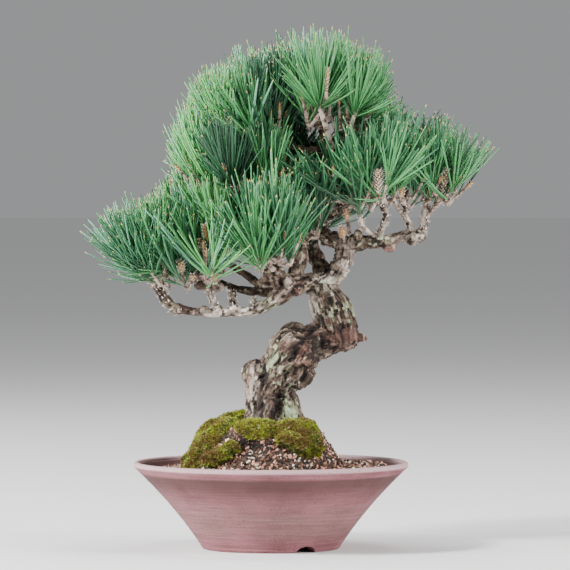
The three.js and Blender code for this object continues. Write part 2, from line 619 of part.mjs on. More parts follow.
  // A fork ends in a ridge, with one corner between the two twigs. A twig that finds no room is left off.
  function growFork(face, { from, to, end, forks }) {
    const along = to.clone().sub(from).normalize();
    const ways = forks.map((child) => child.to.clone().sub(child.from).normalize());
    const [one, two] = ways.map((way) => turnOf(way, along));
    const half = Math.atan2(Math.sin(two - one), Math.cos(two - one)) / 2;
    const third = (2 * Math.PI) / 3;
    const turn = one + half - phaseOf(face, along);
    const tries = [1, 1.6, 0.6].flatMap((high) => [0, 0.4, -0.4, 1].map((twist) => ({ high, twist })));
    return tryEach(tries, ({ high, twist }) => {
      const drawn = drawOut(face, to, along, end, turn - third * Math.round(turn / third) + twist);
      if (!drawn) return false;
      const sides = drawToPoint(drawn.next, to.clone().addScaledVector(along, high * end));
      if (!add(sides)) return false;
      const grown = forks.map((child, i) => {
        const facing = (side) => middleOf(side).sub(to).dot(ways[i]);
        sides.sort((s, t) => facing(t) - facing(s));
        const side = sides.shift();
        faces.splice(faces.indexOf(side), 1);
        if (growTwig(side, child)) return true;
        faces.push(side);
        return false;
      });
      return grown.every(Boolean) || (high === 0.6 && twist === 1);
    });
  }

  function growTwig(face, branch) {
    const touches = (share) => {
      const p = branch.from.clone().lerp(branch.to, share);
      return otherLimbs.some((rod) => distanceTo(rod, p) < branch.end + gap);
    };
    if ([0.25, 0.5, 0.75, 1].some(touches)) return false;
    return branch.shoot ? growToShoot(face, branch) : growFork(face, branch);
  }

  const base = corners(tip.start, tip.along, tip.radius, 0);
  faces.push([base[0], base[2], base[1]]);
  const bend = stem.to.clone().sub(stem.from).normalize().add(tip.along).normalize();
  const collar = drawOut(base, stem.from, bend, stem.radius).next;
  if (!growTwig(collar, stem)) faces.push(collar);
  seats.forEach(growNeedle);
  const geometry = new THREE.BufferGeometry();
  geometry.setAttribute("position", new THREE.Float32BufferAttribute(points.flatMap((p) => p.toArray()), 3));
  geometry.setIndex(faces.flat());
  return solid(geometry);
}

addPart("pot", makePot(), materials.clay);
addPart("soil", makeSoil(0), materials.soil);
const soilClear = makeSoil(gap);
addPart("trunk", makeTrunk(0), materials.bark);
const trunkClear = makeTrunk(gap + 0.1);
const moss = Object.entries(mossPads);
moss.forEach(([name, pad], i) => {
  let body = mossPad(pad).subtract(trunkClear).subtract(soilClear);
  for (const [, other] of moss.slice(0, i)) {
    const grown = { ...other, wide: other.wide + 0.6, deep: other.deep + 0.6, high: other.high + 20 };
    body = body.subtract(mossPad(grown));
  }
  addPart(name, body, materials.moss);
});
makeBoughs(trunkClear);
for (const skeleton of skeletons) addPart(skeleton.name, makePad(skeleton), materials.needles);

// The origin stands on the ground under the middle of the whole plant.
const bounds = new THREE.Box3().setFromObject(tree, true);
tree.position.set(-(bounds.min.x + bounds.max.x) / 2, -(bounds.min.y + bounds.max.y) / 2, -bounds.min.z);

export default tree;
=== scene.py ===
# A black pine bonsai in a flared round pot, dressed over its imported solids.
import bmesh
import bpy
import math
import numpy as np
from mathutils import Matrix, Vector


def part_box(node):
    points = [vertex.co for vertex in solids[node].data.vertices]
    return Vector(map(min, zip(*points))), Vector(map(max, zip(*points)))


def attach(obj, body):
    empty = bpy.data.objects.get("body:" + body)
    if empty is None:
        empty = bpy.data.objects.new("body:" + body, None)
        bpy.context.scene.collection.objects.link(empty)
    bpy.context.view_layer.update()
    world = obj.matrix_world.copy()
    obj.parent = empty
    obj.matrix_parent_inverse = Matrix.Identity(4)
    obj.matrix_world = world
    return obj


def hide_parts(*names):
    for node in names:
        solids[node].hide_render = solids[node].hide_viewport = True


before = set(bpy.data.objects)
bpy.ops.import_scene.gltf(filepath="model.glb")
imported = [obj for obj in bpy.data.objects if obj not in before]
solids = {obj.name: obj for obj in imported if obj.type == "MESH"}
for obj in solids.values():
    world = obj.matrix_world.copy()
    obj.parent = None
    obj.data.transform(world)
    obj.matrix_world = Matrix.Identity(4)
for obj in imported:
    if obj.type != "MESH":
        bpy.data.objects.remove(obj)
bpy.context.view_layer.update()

mm = 0.001
golden = math.pi * (3 - math.sqrt(5))
up = np.array([0.0, 0.0, 1.0])

# Lengths below are millimetres from the middle of the pot's foot: x right, y away from the front, z up.
potLow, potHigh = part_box("pot")
potMiddle = np.array([(potLow.x + potHigh.x) / 2, (potLow.y + potHigh.y) / 2, 0.0])


def toFrame(points):
    return np.asarray(points, float) * mm + potMiddle


def fromFrame(points):
    return (np.asarray(points, float) - potMiddle) / mm


# General helpers

def hexColour(code):  # sRGB hex to linear, opaque
    parts = [int(code[i:i + 2], 16) / 255 for i in (0, 2, 4)]
    return [p / 12.92 if p <= 0.04045 else ((p + 0.055) / 1.055) ** 2.4 for p in parts] + [1.0]


# Node kinds under short names: Blender's kind, its settings, the output that is used (None for all of them),
# and the inputs in the order in which they are given.
sumKinds = {"plus": "ADD", "minus": "SUBTRACT", "times": "MULTIPLY", "over": "DIVIDE", "larger": "MAXIMUM",
            "timesPlus": "MULTIPLY_ADD", "unsigned": "ABSOLUTE"}
nodeKinds = {
    **{short: ("ShaderNodeMath", {"operation": way}, 0, (0, 1, 2)) for short, way in sumKinds.items()},
    "exceeds": ("FunctionNodeCompare", {"operation": "GREATER_THAN"}, 0, (0, 1)),
    "vectorPlus": ("ShaderNodeVectorMath", {"operation": "ADD"}, 0, (0, 1)),
    "vectorMinus": ("ShaderNodeVectorMath", {"operation": "SUBTRACT"}, 0, (0, 1)),
    "vectorTimes": ("ShaderNodeVectorMath", {"operation": "MULTIPLY"}, 0, (0, 1)),
    "scaled": ("ShaderNodeVectorMath", {"operation": "SCALE"}, 0, (0, "Scale")),
    "length": ("ShaderNodeVectorMath", {"operation": "LENGTH"}, "Value", (0,)),
    "join": ("ShaderNodeCombineXYZ", {}, 0, ("X", "Y", "Z")),
    "split": ("ShaderNodeSeparateXYZ", {}, None, (0,)),
    "splitColour": ("ShaderNodeSeparateColor", {}, None, ("Color",)),
    "smooth": ("ShaderNodeMapRange", {"interpolation_type": "SMOOTHSTEP"}, 0, (0, 1, 2, 3, 4)),
    "noise": ("ShaderNodeTexNoise", {}, 0, ("Vector", "Scale", "Detail", "Roughness")),
    "noiseColour": ("ShaderNodeTexNoise", {}, 1, ("Vector", "Scale", "Detail")),
    "cells": ("ShaderNodeTexVoronoi", {}, None, ("Vector", "Scale", "Smoothness")),
    "place": ("ShaderNodeTexCoord", {}, "Object", ()),
    "mapped": ("ShaderNodeMapping", {}, 0, ("Vector", "Location", "Scale")),
    "stored": ("ShaderNodeAttribute", {}, "Fac", ()),
    "storedVector": ("ShaderNodeAttribute", {}, "Vector", ()),
    "ramp": ("ShaderNodeValToRGB", {}, 0, ("Fac",)),
    "blend": ("ShaderNodeMix", {"data_type": "RGBA", "blend_type": "MIX"}, 2, (0, 6, 7)),
    "bump": ("ShaderNodeBump", {}, 0, ("Height", "Distance", "Strength")),
    "value": ("GeometryNodeInputNamedAttribute", {"data_type": "FLOAT"}, 0, ("Name",)),
    "normal": ("GeometryNodeInputNormal", {}, 0, ()),
    "position": ("GeometryNodeInputPosition", {}, 0, ()),
    "randomNumber": ("FunctionNodeRandomValue", {"data_type": "FLOAT"}, 1, (2, 3, "Seed")),
    "randomVector": ("FunctionNodeRandomValue", {"data_type": "FLOAT_VECTOR"}, 0, (0, 1)),
    "aimed": ("FunctionNodeAlignRotationToVector", {"axis": "Z"}, 0, ("Vector",)),
    "turned": ("FunctionNodeRotateRotation", {"rotation_space": "LOCAL"}, 0, (0, 1)),
    "pieces": ("GeometryNodeCollectionInfo", {}, 0, ("Collection", "Separate Children", "Reset Children")),
    "scatter": ("GeometryNodeDistributePointsOnFaces", {}, None, ("Mesh", "Selection", "Density", "Seed")),
    "instances": ("GeometryNodeInstanceOnPoints", {}, 0,
                  ("Points", "Instance", "Pick Instance", "Instance Index", "Rotation", "Scale")),
    "keep": ("GeometryNodeStoreNamedAttribute", {"data_type": "FLOAT", "domain": "POINT"}, 0,
             ("Geometry", "Name", "Value")),
    "shift": ("GeometryNodeSetPosition", {}, 0, ("Geometry", "Offset")),
    "realize": ("GeometryNodeRealizeInstances", {}, 0, (0,)),
    "material": ("GeometryNodeSetMaterial", {}, 0, ("Geometry", "Material", "Selection")),
    "given": ("NodeGroupInput", {}, None, ()),
    "result": ("NodeGroupOutput", {}, None, (0,)),
}


# Hands back a function that adds a node to the tree with its settings and links.
def nodesOf(tree):
    def add(short, *inputs, **settings):
        kind, usual, output, keys = nodeKinds[short]
        node = tree.nodes.new(kind)
        for key, value in {**usual, **settings}.items():
            setattr(node, key, value)
        for key, value in zip(keys, inputs):
            socket = node.inputs[key]
            if isinstance(value, bpy.types.NodeSocket):
                tree.links.new(value, socket)
            elif value is not None:
                socket.default_value = hexColour(value) if socket.type == "RGBA" else value
        return node.outputs if output is None else node.outputs[output]

    return add


def addObject(name, mesh, *materials):
    piece = bpy.data.objects.new(name, mesh)
    bpy.context.scene.collection.objects.link(piece)
    for material in materials:
        mesh.materials.append(material)
    return piece


def meshOf(name, points, faces, smooth=True):
    mesh = bpy.data.meshes.new(name)
    mesh.from_pydata(np.asarray(points, float).tolist(), [], [[int(i) for i in face] for face in faces])
    mesh.shade_smooth() if smooth else mesh.shade_flat()
    return mesh


def setValues(mesh, name, kind, values):
    attribute = mesh.attributes.new(name, kind, "POINT")
    key = "vector" if kind == "FLOAT_VECTOR" else "value"
    attribute.data.foreach_set(key, np.asarray(values).ravel())


def positionsOf(mesh):
    flat = np.empty(3 * len(mesh.vertices), np.float32)
    mesh.vertices.foreach_get("co", flat)
    return flat.reshape(-1, 3)


def moveTo(piece, places):
    piece.data.vertices.foreach_set("co", toFrame(places).ravel())
    piece.data.update()


# How near places are to a spot: 1 at its middle, and next to nothing past twice its reach.
def nearTo(places, middle, reach):
    return np.exp(-(((places - middle) / reach) ** 2).sum(1))


def newTree(name, sockets):
    tree = bpy.data.node_groups.new(name, "GeometryNodeTree")
    for socket, kind in {"Geometry": "Geometry", **sockets, "Finish": "Material"}.items():
        tree.interface.new_socket(socket, in_out="INPUT", socket_type="NodeSocket" + kind)
    tree.interface.new_socket("Geometry", in_out="OUTPUT", socket_type="NodeSocketGeometry")
    add = nodesOf(tree)
    return tree, add("given"), add


# Every tree ends in real meshes with their finish on.
def endTree(tree, add, given, geometry):
    add("result", add("material", add("realize", geometry), given["Finish"]))
    return tree


# The mesh that an object's modifiers make of it.
def madeMesh(piece):
    graph = bpy.context.evaluated_depsgraph_get()
    return bpy.data.meshes.new_from_object(piece.evaluated_get(graph), depsgraph=graph)


# Runs a node tree on an object and hands back the result as a plain object.
def grow(name, base, tree, values):
    modifier = base.modifiers.new(tree.name, "NODES")
    modifier.node_group = tree
    for item in tree.interface.items_tree:
        if item.in_out == "INPUT" and item.name in values:
            modifier[item.identifier] = values[item.name]
    mesh = madeMesh(base)
    base.modifiers.remove(modifier)
    return addObject(name, mesh)


# Applies what modifiers an object has and hands back the result in its place.
def harden(piece):
    mesh = madeMesh(piece)
    piece.modifiers.clear()
    piece.data = mesh
    return piece


# Drops what only planting needed, and tells the frame where the piece belongs.
def settle(piece, nodes):
    for name in ("aim", "spin", "size", "kind", "tip"):
        if name in piece.data.attributes:
            piece.data.attributes.remove(piece.data.attributes[name])
    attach(piece, "root")
    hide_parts(*nodes)
    triangles = sum(len(face.vertices) - 2 for face in piece.data.polygons)
    print(f"{piece.name}: {triangles} triangles")


# Camera, lights and floor

view = {"away": 3600, "height": 287, "aimX": 9.7, "aimZ": 182, "frameWidth": 393.3, "sensor": 36}
# Lamps: place, size of the disc in metres and power. All of them face the same point.
studio = {
    "key": {"at": (-1400, -1000, 1500), "size": 0.45, "watts": 70},
    "second": {"at": (1650, -950, 1150), "size": 0.8, "watts": 22},
    "low left": {"at": (-1500, -420, 330), "size": 0.5, "watts": 34},
    "low right": {"at": (1500, -420, 330), "size": 0.5, "watts": 22},
    "top": {"at": (200, 300, 2000), "size": 0.9, "watts": 20},
    "rim": {"at": (-1300, 1200, 900), "size": 1.0, "watts": 12},
}
room = {"lampsFace": (0, 0, 180), "sky": "f2f3f5", "skyStrength": 0.36, "paper": "f4f4f3", "floorReach": 14.0}


def aimAt(item, place, target):
    item.location = Vector(place)
    item.rotation_euler = (Vector(target) - Vector(place)).to_track_quat("-Z", "Y").to_euler()


def setStage():
    cameraData = bpy.data.cameras.new("camera")
    cameraData.sensor_width = view["sensor"]
    cameraData.lens = view["sensor"] * view["away"] / view["frameWidth"]
    camera = bpy.data.objects.new("camera", cameraData)
    bpy.context.scene.collection.objects.link(camera)
    aimAt(camera, toFrame((view["aimX"], -view["away"], view["height"])),
          toFrame((view["aimX"], 0, view["aimZ"])))
    bpy.context.scene.camera = camera
    for name, lamp in studio.items():
        data = bpy.data.lights.new(name, "AREA")
        data.shape = "DISK"
        data.size = lamp["size"]
        data.energy = lamp["watts"]
        light = bpy.data.objects.new(name, data)
        bpy.context.scene.collection.objects.link(light)
        aimAt(light, toFrame(lamp["at"]), toFrame(room["lampsFace"]))
    world = bpy.data.worlds.new("studio")
    bpy.context.scene.world = world
    world.use_nodes = True
    sky = world.node_tree.nodes["Background"]
    sky.inputs["Color"].default_value = hexColour(room["sky"])
    sky.inputs["Strength"].default_value = room["skyStrength"]
    paper = plainFinish("matt paper floor", room["paper"], 0.85)
    reach = room["floorReach"]
    corners = [(-reach, -reach, 0), (reach, -reach, 0), (reach, reach, 0), (-reach, reach, 0)]
    floor = addObject("floor", meshOf("floor", corners, [(0, 1, 2, 3)]), paper)
    print("stage set")


# Finishes. Each pattern's scale is one over its real size in metres.

def newFinish(name, values):
    material = bpy.data.materials.new(name)
    material.use_nodes = True
    for key, value in values.items():
        material.node_tree.nodes["Principled BSDF"].inputs[key].default_value = value
    return material


# Lays colours over the first one, each by its share, raises the surface by a height times a depth in
# millimetres, and may vary the roughness.
def paint(material, add, colour, layers, height, depth, roughness=None):
    for share, over in layers:
        colour = add("blend", share, colour, over)
    tree = material.node_tree
    sources = {"Base Color": colour, "Roughness": roughness, "Normal": add("bump", height, depth * mm, 1.0)}
    for key, source in sources.items():
        if source:
            tree.links.new(source, tree.nodes["Principled BSDF"].inputs[key])
    return material


# Terracotta thrown on a wheel and left unglazed: a dry pink body with fine level rings and iron specks. The
# limits on height and radius are metres.
def thrownTerracotta():
    material = newFinish("thrown terracotta", {"Specular IOR Level": 0.25})
    add = nodesOf(material.node_tree)
    centred = add("mapped", add("place"), tuple(-potMiddle))
    level = add("mapped", centred, None, (0.03, 0.03, 1))
    height = add("split", centred)["Z"]
    radius = add("length", add("vectorTimes", centred, (1, 1, 0)))
    rings = add("noise", level, 1 / (1.1 * mm), 4, 0.7)
    broadRings = add("noise", level, 1 / (7 * mm), 2, 0.55)
    clouds = add("noise", centred, 1 / (26 * mm), 3, 0.55)
    grain = add("noise", centred, 1 / (0.9 * mm), 2, 0.55)
    specks = add("cells", centred, 1 / (3.4 * mm))
    chosen = add("splitColour", specks["Color"])[0]

    def band(value, *edges):  # shows between two pairs of edges
        return add("times", add("smooth", value, *edges[:2]), add("smooth", value, *edges[2:]))

    # the inner wall above the soil, where painted shade lies
    inside = add("times", add("smooth", radius, 0.0915, 0.0895), add("smooth", height, 0.03, 0.05))
    dots = add("times", add("smooth", specks["Distance"], 0.17, 0.09), add("smooth", chosen, 0.58, 0.6))
    body = add("blend", add("smooth", clouds, 0.35, 0.65), "86535a", "724349")
    layers = [
        (add("smooth", broadRings, 0.4, 0.7, 0, 0.3), "a06f74"),
        (add("times", band(height, 0.002, 0.016, 0.042, 0.022), add("smooth", clouds, 0.3, 0.6, 0.1, 0.5)),
         "77625a"),  # an olive breath low on the wall
        (add("smooth", rings, 0.42, 0.75, 0, 0.32), "b3868a"),
        (add("smooth", rings, 0.48, 0.25, 0, 0.3), "5c4240"),
        (add("smooth", grain, 0.5, 0.8, 0, 0.35), "b08c8c"),
        (add("smooth", height, 0.0562, 0.0578, 0, 0.6), "cdb0b3"),  # the lip, lighter by a painted highlight
        (add("times", inside, 0.85), "4c3330"),  # painted shade on the inner wall above the soil, which lies in shadow
        (dots, "4a3835"),
        (add("times", band(height, 0.0026, 0.0032, 0.0044, 0.0036), 0.35), "6f5450"),  # painted shade in the foot's groove
    ]
    relief = add("plus", add("times", rings, 0.6), add("times", grain, 0.35))
    return paint(material, add, body, layers, relief, 0.3, add("smooth", clouds, 0.3, 0.7, 0.66, 0.8))


# Pine bark: flakes of many greys and browns over cracks, with rosy bare skin, dead pale wood and lichen.
# Painted shade darkens the cracks, the low places of the relief and the hollows.
def pineBark():
    material = newFinish("pine bark", {"Roughness": 0.88, "IOR": 1.45})
    add = nodesOf(material.node_tree)
    relief = add("stored", attribute_name="relief")
    # painted shade in the bark's hollows and dents, which darkens the colour below
    hollow = add("stored", attribute_name="barkPaintedShade")
    pale, lichen, rose = add("split", add("storedVector", attribute_name="barkMarks"))[:3]
    # bark space is already in millimetres
    stretched = add("mapped", add("storedVector", attribute_name="barkSpace"), None, (1, 1, 0.7))

    def withStops(ramp, stops):  # gives a ramp its colours
        elements = ramp.node.color_ramp.elements
        while len(elements) < len(stops):
            elements.new(0.5)
        for element, (place, code) in zip(elements, stops):
            element.position = place
            element.color = hexColour(code)
        return ramp

    drift = add("scaled", add("noiseColour", stretched, 1 / 2.8, 3), 4.5)
    flakes = add("cells", add("vectorPlus", stretched, drift), 1 / 2.3)
    tint = add("splitColour", flakes["Color"])
    share = add("plus", add("times", tint[0], 0.55), add("times", add("noise", stretched, 1 / 6, 3), 0.5))
    greys = [(0.2, "352722"), (0.4, "54433a"), (0.55, "766456"), (0.7, "a09181"), (0.9, "dbd2c4")]
    reliefPaintedShade = [(0.0, "1f1a18"), (0.28, "574e49"), (0.48, "bcb3ab"), (0.7, "ffffff")]
    raised = add("smooth", relief, 0.25, 0.55)
    olive = add("times", add("smooth", add("noise", stretched, 1 / 8, 3), 0.5, 0.66, 0, 0.55), raised)
    rosy = add("larger", rose, add("smooth", add("noise", stretched, 1 / 10, 2), 0.56, 0.7, 0, 0.5))
    rosy = add("times", rosy, add("smooth", tint[1], 0.1, 0.6, 0.35, 0.9))
    patch = add("plus", add("noise", stretched, 1 / 2.8, 3), add("times", lichen, 0.34))
    patch = add("smooth", patch, 0.6, 0.74)
    patch = add("times", patch, add("times", raised, 0.9))
    bare = add("times", pale, add("smooth", add("plus", relief, tint[2]), 0.3, 0.9, 0.15, 1))
    colour = withStops(add("ramp", share), greys)
    for amount, code in [(olive, "76705a"), (rosy, "84564f"), (patch, "b3c4a0"), (bare, "ece2d8")]:
        colour = add("blend", amount, colour, code)
    # painted shade: the colour darkens where the relief is low, in the cracks and between the flakes
    colour = add("blend", 1.0, colour, withStops(add("ramp", relief), reliefPaintedShade), blend_type="MULTIPLY")
    fine = add("times", add("noise", stretched, 1 / 1.7, 3), 1.2)
    fine = add("plus", add("noise", stretched, 1 / 0.6, 3), fine)
    height = add("plus", fine, add("times", tint[0], 0.7))
    # the painted shade of the hollows and dents lies over the colour
    return paint(material, add, colour, [(add("times", hollow, 0.85), "1b1412")], height, 0.55)


# One plain colour, for the floor's paper and for what is small and many: needles, buds, grit and moss leaves.
def plainFinish(name, code, roughness, coat=0.0):
    return newFinish(name, {"Base Color": hexColour(code), "Roughness": roughness, "Coat Weight": coat,
                            "Coat Roughness": 0.35})


# Two colours that change in patches, under a grain: the size, limits and colours of the patches, and the
# size, detail and depth of the grain. A further layer may lie over them.
def mottled(name, roughness, patches, grain, over=None):
    material = newFinish(name, {"Roughness": roughness})
    add = nodesOf(material.node_tree)
    place = add("place")
    size, low, high, first, second = patches
    share = add("smooth", add("noise", place, 1 / (size * mm), 3, 0.55), low, high)
    height = add("noise", place, 1 / (grain[0] * mm), grain[1], 0.55)
    layers = [over(add, place)] if over else []
    return paint(material, add, add("blend", share, first, second), layers, height, grain[2])


# Young twigs: orange-brown skin, grey where old needles fell.
def twigBark():
    def grey(add, place):
        return add("smooth", add("noise", place, 1 / (6 * mm), 3, 0.55), 0.46, 0.6, 0, 0.8), "d6c4b6"

    return mottled("twig bark", 0.82, (2.2, 0.4, 0.6, "4c3a30", "a8907f"), (0.9, 3, 0.5), grey)


# Potting grit between its stones: dark, damp and crumbly, with painted shade where the ground lies in shadow.
def dampSoil():
    def shade(add, place):
        return add("times", add("stored", attribute_name="shade"), 0.8), "16110f"

    return mottled("damp soil", 0.95, (2.5, 0.35, 0.65, "2a201b", "5b463a"), (1.4, 4, 1.2), shade)


# The body of a moss cushion, which shows in the gaps between its leaves.
def mossBody():
    return mottled("moss cushion", 0.95, (3, 0.35, 0.65, "2c2f0c", "5f6a1c"), (1.1, 4, 1.0))


# Pieces planted on points: each point holds an aim, a spin about it, a size and the kind of piece.

def plantingTree():
    tree, given, add = newTree("Plant pieces on points", {"Pieces": "Collection", "Tip finish": "Material"})
    aimed = add("aimed", add("value", "aim", data_type="FLOAT_VECTOR"))
    turned = add("turned", aimed, add("join", None, None, add("value", "spin")))
    pieces = add("pieces", given["Pieces"], True, True)
    kind = add("value", "kind", data_type="INT")
    planted = add("instances", given["Geometry"], pieces, True, kind, turned, add("value", "size"))
    body = add("material", add("realize", planted), given["Finish"])
    add("result", add("material", body, given["Tip finish"], add("value", "tip", data_type="BOOLEAN")))
    return tree


# A collection of small shapes, each made by a function from a seeded stream. Their tip faces are marked.
def shapeSet(name, count, make, smooth=True):
    collection = bpy.data.collections.new(name)
    for i in range(count):
        points, faces, tips = make(np.random.default_rng(100 + i))
        mesh = meshOf(f"{name}{i:02d}", np.asarray(points) * mm, faces, smooth)
        marks = mesh.attributes.new("tip", "BOOLEAN", "FACE")
        marks.data.foreach_set("value", np.isin(range(len(faces)), list(tips)))
        collection.objects.link(bpy.data.objects.new(f"{name}{i:02d}", mesh))
    return collection


def plant(name, points, aims, spins, sizes, kinds, shapes, finish, tipFinish):
    mesh = meshOf(name + "Points", toFrame(points), [])
    setValues(mesh, "aim", "FLOAT_VECTOR", aims)
    setValues(mesh, "spin", "FLOAT", spins)
    setValues(mesh, "size", "FLOAT", sizes)
    setValues(mesh, "kind", "INT", kinds)
    base = addObject(name + "Points", mesh)
    piece = grow(name, base, planting, {"Pieces": shapes, "Finish": finish, "Tip finish": tipFinish})
    bpy.data.objects.remove(base)
    settle(piece, needleNodes)


def ringFaces(rings, sides, closedTip=False, offset=0):
    faces = []
    for i in range(rings - 1):
        for j in range(sides):
            a, b = offset + i * sides + j, offset + i * sides + (j + 1) % sides
            faces.append((a, b, b + sides, a + sides))
    last = offset + (rings - 1) * sides
    if closedTip:
        faces += [(last + j, last + (j + 1) % sides, last + sides) for j in range(sides)]
    else:
        faces.append(tuple(last + j for j in range(sides)))
    faces.append(tuple(offset + j for j in reversed(range(sides))))
    return faces


# Limbs, as rows of x, y, z and radius: the trunk's runs, its root flares and the boughs

trunkRuns = [
    [(1.5, 0, 82, 16.5), (0.8, 0, 95, 14.6), (1, 0, 106, 14.8), (4, -1, 117, 15.5), (11, -3, 129, 17),
     (20, -3, 138, 15.5), (31, -1, 143, 12.5), (43, 1, 146, 12), (51, 1, 147, 9)],
    [(47, 1, 141, 9), (47, 1, 149, 13.3), (43.4, 1, 159, 14.1), (39.8, 1, 169, 13.6), (36.4, 1, 177, 11.2),
     (34, 0, 184, 7)],
    [(31, 0, 177, 7.5), (36, 0, 183, 8.3), (42, 0, 188, 7.8), (48, 0, 195, 7.3), (51, 0, 203, 7.2),
     (50, 0, 211, 6.2)],
    [(52, 0, 206, 6), (46, 2, 213, 6.2), (38, 4, 214.5, 5.8), (33, 5, 220, 5.4), (34, 5, 232, 5),
     (38, 4, 247, 4.6), (42, 3, 262, 4.2), (42, 2, 272, 3.8), (39, 1, 281, 3.5), (35, 0, 290, 3.1)],
]
roots = [
    [(-9, -2, 122, 8), (-11, -3, 104, 7), (-13, -5, 90, 5.5), (-17, -6, 80, 5)],
    [(0, -6, 104, 8), (-3, -11, 92, 7.5), (-5, -14, 80, 8)],
    [(10, -3, 104, 9), (14, -5, 92, 8), (17, -6, 80, 8.5)],
    [(4, 6, 104, 9), (6, 11, 92, 7), (8, 16, 80, 7)],
]
boughs = {
    "bough_left": [(35, 0, 183, 7), (24, -3, 183, 6.8), (15, -6, 181, 6.5), (7, -9, 175.5, 5.6),
                   (-3.5, -11, 168.4, 4.4), (-14, -12, 164.2, 3.4), (-27, -12, 163.9, 2.9),
                   (-40, -11, 162.8, 2.6), (-54.5, -9, 164.2, 2.6), (-64, -8, 165.3, 2.9)],
    "bough_left_end": [(-63, -8, 164.6, 2.6), (-66, -8, 166, 3.1), (-71, -8, 170, 3.2), (-76, -8, 177, 2.9),
                       (-80, -8, 183, 2.5)],
    "bough_left_upper": [(8.3, -5, 177.3, 3.4), (-0.7, -1, 177, 3), (-9.7, 2, 177.4, 2.6),
                         (-20.7, 4, 178.8, 2.3), (-28.3, 5, 181, 2.1), (-35.2, 6, 183.5, 2)],
    "bough_left_rising": [(-3.5, 0, 178.5, 2.4), (-9, 3, 183, 2.5), (-15.9, 5, 188, 2.3),
                          (-24.2, 7, 193, 2.1), (-32.4, 9, 198, 1.9)],
    "spur_left": [(-38, -11, 164, 2), (-41, -12, 174.6, 1.9), (-44.9, -12, 180.8, 1.7)],
    "link_left": [(-26, -10, 165, 2.3), (-26.5, -4, 172, 2), (-27, 3, 179, 2)],
    "stub_left": [(-12.4, -11, 166, 1.9), (-12.2, -8, 171, 1.6), (-12, -6, 174.5, 1.4)],
    "bough_front": [(12.4, -6, 182, 5.8), (6.7, -12.8, 188, 5), (2, -17, 193.2, 3.8)],
    "bough_centre": [(16, -3, 184, 5.6), (18, -2, 194, 5.2), (20.7, -2, 202, 4.6), (20, -1, 210, 3.8)],
    "bough_back": [(40.7, 3, 183.5, 6), (34, 13, 194, 5.4), (30, 21, 205, 4.8), (27, 29, 216, 4)],
    "bough_right": [(51, 0, 208, 5.5), (61.4, -2, 211.1, 4.9), (71, -4, 212.5, 4.6), (80, -5, 211.8, 5),
                    (87.6, -5, 214.9, 3.6), (96.6, -4, 216, 3.5), (106, -4, 215.3, 3.2)],
    "spur_right_end": [(104.5, -4, 217, 2.9), (105.6, -5, 227, 2.7), (107, -5, 237.4, 2.6)],
    "spur_right_mid": [(96.6, -4, 217, 1.8), (93.8, -6, 229, 1.5), (91.8, -7, 237.4, 1.5)],
    "spur_right_front": [(73, -6, 214, 2), (78, -12, 225.6, 1.8), (78.7, -13, 232.5, 1.8),
                         (74.5, -14, 240, 1.8)],
    "bough_right_inner": [(34, 4, 226, 2.4), (44, -6, 231, 2.2), (53.8, -10, 236, 1.7)],
    "bough_mid_left": [(33, 5, 225.6, 4.2), (16.6, 8, 230.5, 3.6), (-0.7, 10, 236, 3.1),
                       (-17.9, 10, 239.4, 2.6), (-29.7, 10, 243, 2.2)],
    "bough_mid_inner": [(37, 4, 241, 3), (22, 0, 243, 2.7), (9.7, -3, 243, 2.4), (-4, -6, 244, 2)],
    "bough_upper_left": [(40.7, 3, 256, 3.6), (27, 6, 257.4, 3.3), (9.7, 9, 263, 3), (-6, 10, 271, 2.6),
                         (-16.6, 10, 278, 2.2)],
    "bough_upper_inner": [(42, 2, 274, 2.8), (23.5, -2, 275.3, 2.4), (6.2, -3, 280, 2)],
    "bough_apex_right": [(41, 1, 274, 2.6), (47, 0, 280, 2.3), (53, 0, 285, 1.9)],
    "bough_back_right": [(37.5, 4, 238, 3.2), (51, 20, 238, 2.8), (66, 33, 241, 2.2)],
    "bough_back_mid": [(38, 4, 247, 3), (28, 15, 250, 2.6), (16, 21, 253, 2.2)],
    "bough_back_left": [(29, 23, 208, 3.4), (10, 36, 218, 2.8), (-11, 42, 223.6, 2.2)],
    "bough_back_top": [(42, 3, 271, 2.8), (33, 20, 276.7, 2.4), (20, 34, 281, 2)],
}


def unit(vector):
    return vector / np.linalg.norm(vector)


# A smooth curve through rows of x, y, z and radius: centripetal, as the solids' own limbs are.
def limbPath(rows, step):
    rows = np.array(rows, float)
    knots = np.vstack([2 * rows[0] - rows[1], rows, 2 * rows[-1] - rows[-2]])[:, :3]
    places, radii = [], []
    for i in range(len(rows) - 1):
        p0, p1, p2, p3 = knots[i:i + 4]
        d0, d1, d2 = (math.sqrt(np.linalg.norm(b - a)) for a, b in ((p0, p1), (p1, p2), (p2, p3)))
        m1 = d1 * ((p1 - p0) / d0 - (p2 - p0) / (d0 + d1) + (p2 - p1) / d1)
        m2 = d1 * ((p2 - p1) / d1 - (p3 - p1) / (d1 + d2) + (p3 - p2) / d2)
        count = max(1, round(np.linalg.norm(p2 - p1) / step))
        for t in np.arange(count) / count if i < len(rows) - 2 else np.arange(count + 1) / count:
            a, b = 2 * t ** 3 - 3 * t ** 2, t ** 3 - t ** 2
            places.append((a + 1) * p1 + (b - t ** 2 + t) * m1 - a * p2 + b * m2)
            radii.append(rows[i][3] + t * (rows[i + 1][3] - rows[i][3]))
    return np.array(places), np.array(radii)


def framesAlong(places):
    ways = np.gradient(places, axis=0)
    ways /= np.linalg.norm(ways, axis=1, keepdims=True)
    side = unit(np.cross(ways[0], [0.31, 0.87, 0.38]))
    sides = []
    for way in ways:
        side = unit(side - way * np.dot(side, way))
        sides.append(side)
    sides = np.array(sides)
    return ways, sides, np.cross(ways, sides)


